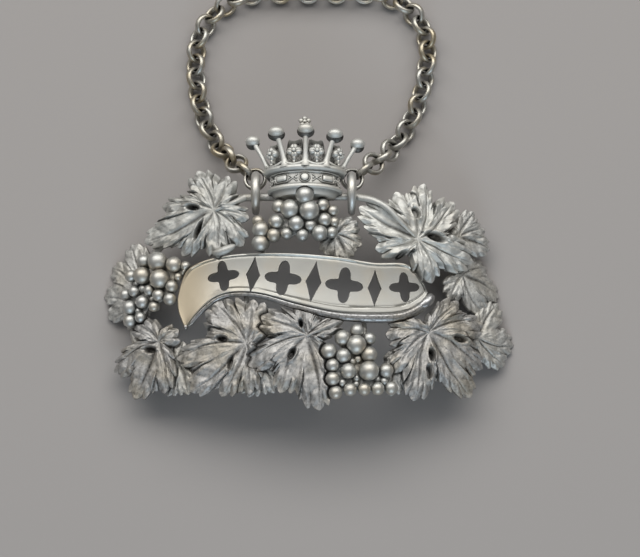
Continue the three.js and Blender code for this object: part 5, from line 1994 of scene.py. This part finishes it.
def aim(holder: bpy.types.Object, at: Point, target: Point) -> None:
    """Sets a lamp or the camera in its place and turns it to what it faces.

    Args:
        holder: the lamp's or camera's object.
        at: its place, in metres.
        target: the point it faces, in metres.
    """
    holder.location = at
    holder.rotation_euler = (Vector(target) - Vector(at)).to_track_quat("-Z", "Y").to_euler()


@dataclass
class Studio:
    """The pale floor, the soft light and the camera."""

    floor: Colour = (0.375, 0.355, 0.345)
    world: float = 0.27
    horizon: Colour = (0.22, 0.22, 0.22)
    zenith: Colour = (0.96, 0.98, 1.0)
    lamps: tuple[Lamp, ...] = (
        Lamp("panel", (-0.03, 0.44, 0.58), (0, 0, 0), (1.3, 0.5), 6.4, (1.0, 0.985, 0.955)),
        Lamp("fill", (0.05, -0.45, 0.20), (0, -0.01, 0), (0.26, 0.13), 0.65, (0.72, 0.87, 1.0)),
    )
    eye: Point = (0.0020, -0.0953, 0.3817)
    target: Point = (0.0020, -0.0163, 0.0100)
    lens: float = 125.2

    def sky(self) -> bpy.types.World:
        """The light from all round, darker towards the horizon.

        Returns:
            The world.
        """
        world = bpy.data.worlds.new("studio")
        world.use_nodes = True
        nodes = Links(world.node_tree)
        up = nodes.add("ShaderNodeSeparateXYZ", Vector=nodes.add("ShaderNodeTexCoord").outputs["Generated"])
        colour = nodes.mix(nodes.ramp(up.outputs[2], -0.1, 0.8), rgba(self.horizon), rgba(self.zenith))
        backdrop = world.node_tree.nodes["Background"]
        world.node_tree.links.new(colour, backdrop.inputs["Color"])
        backdrop.inputs["Strength"].default_value = self.world
        return world

    def card(self) -> bpy.types.Material:
        """The floor's matt card.

        Returns:
            The material.
        """
        card = bpy.data.materials.new("pale_card")
        card.use_nodes = True
        shader = card.node_tree.nodes["Principled BSDF"]
        shader.inputs["Base Color"].default_value = rgba(self.floor)
        shader.inputs["Roughness"].default_value = 0.9
        shader.inputs["Specular IOR Level"].default_value = 0.1
        return card

    def build(self) -> None:
        """Builds floor, lights and camera."""
        scene = bpy.context.scene
        scene.world = self.sky()
        mesh = bpy.data.meshes.new("floor")
        mesh.from_pydata([(-1, -1, 0), (1, -1, 0), (1, 1, 0), (-1, 1, 0)], [], [(0, 1, 2, 3)])
        mesh.materials.append(self.card())
        floor = linked("floor", mesh)
        floor.location.z = -0.1 * MM
        for lamp in self.lamps:
            lamp.hang()
        camera = bpy.data.cameras.new("camera")
        camera.lens = self.lens
        camera.sensor_width = 36
        scene.camera = linked("camera", camera)
        aim(scene.camera, self.eye, self.target)
        scene.view_settings.view_transform = "Standard"


LEAF_FINISH = {"leaf_upper_left": Finish.LEAF, "leaf_upper_right": Finish.PALE_LEAF}


def build_leaves(leaves: dict[str, Leaf], covers: dict[str, list[Cover]]) -> None:
    """Builds the large leaves.

    Args:
        leaves: the leaves by node name.
        covers: for each, the outlines that lie over it.
    """
    for name, leaf in leaves.items():
        shell = leaf.shell()
        layout = dive(shell.layout(), covers.get(name, []), SEAT + leaf.pressed)
        piece = shell.mesh(f"{name}_dressed", SHEET.place(layout))
        sharpened(piece, leaf.crease)
        dress(piece, LEAF_FINISH.get(name, Finish.LOW_LEAF), "label", name)


def main() -> None:
    """Builds the label piece by piece, and the studio round it."""
    logging.basicConfig(level=logging.INFO)
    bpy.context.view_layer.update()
    Studio().build()
    leaves = VineLeaves().large()
    over = {name: leaf.outline(280) for name, leaf in leaves.items()}
    bunches = {name: bunch.cover() for name, bunch in BUNCHES.items()}
    banner = Scroll().outline()
    VineBranch().build()
    build_leaves(leaves, {
        "leaf_lower_right": [banner, bunches["grapes_right"]],
        "leaf_lower_middle": [banner, bunches["grapes_right"]],
        "leaf_lower_left_inner": [banner, over["leaf_lower_middle"]],
        "leaf_lower_left": [over["leaf_lower_left_inner"], bunches["grapes_left"]],
    })
    Scroll().build([over["leaf_upper_left"], over["leaf_upper_right"]])
    BUNCHES["grapes_left"].build([banner, over["leaf_upper_left"]])
    BUNCHES["grapes_middle"].build([banner])
    BUNCHES["grapes_right"].build([banner])
    Coronet().build([bunches["grapes_middle"]])
    Chain().build()
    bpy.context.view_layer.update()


if __name__ == "__main__":
    main()
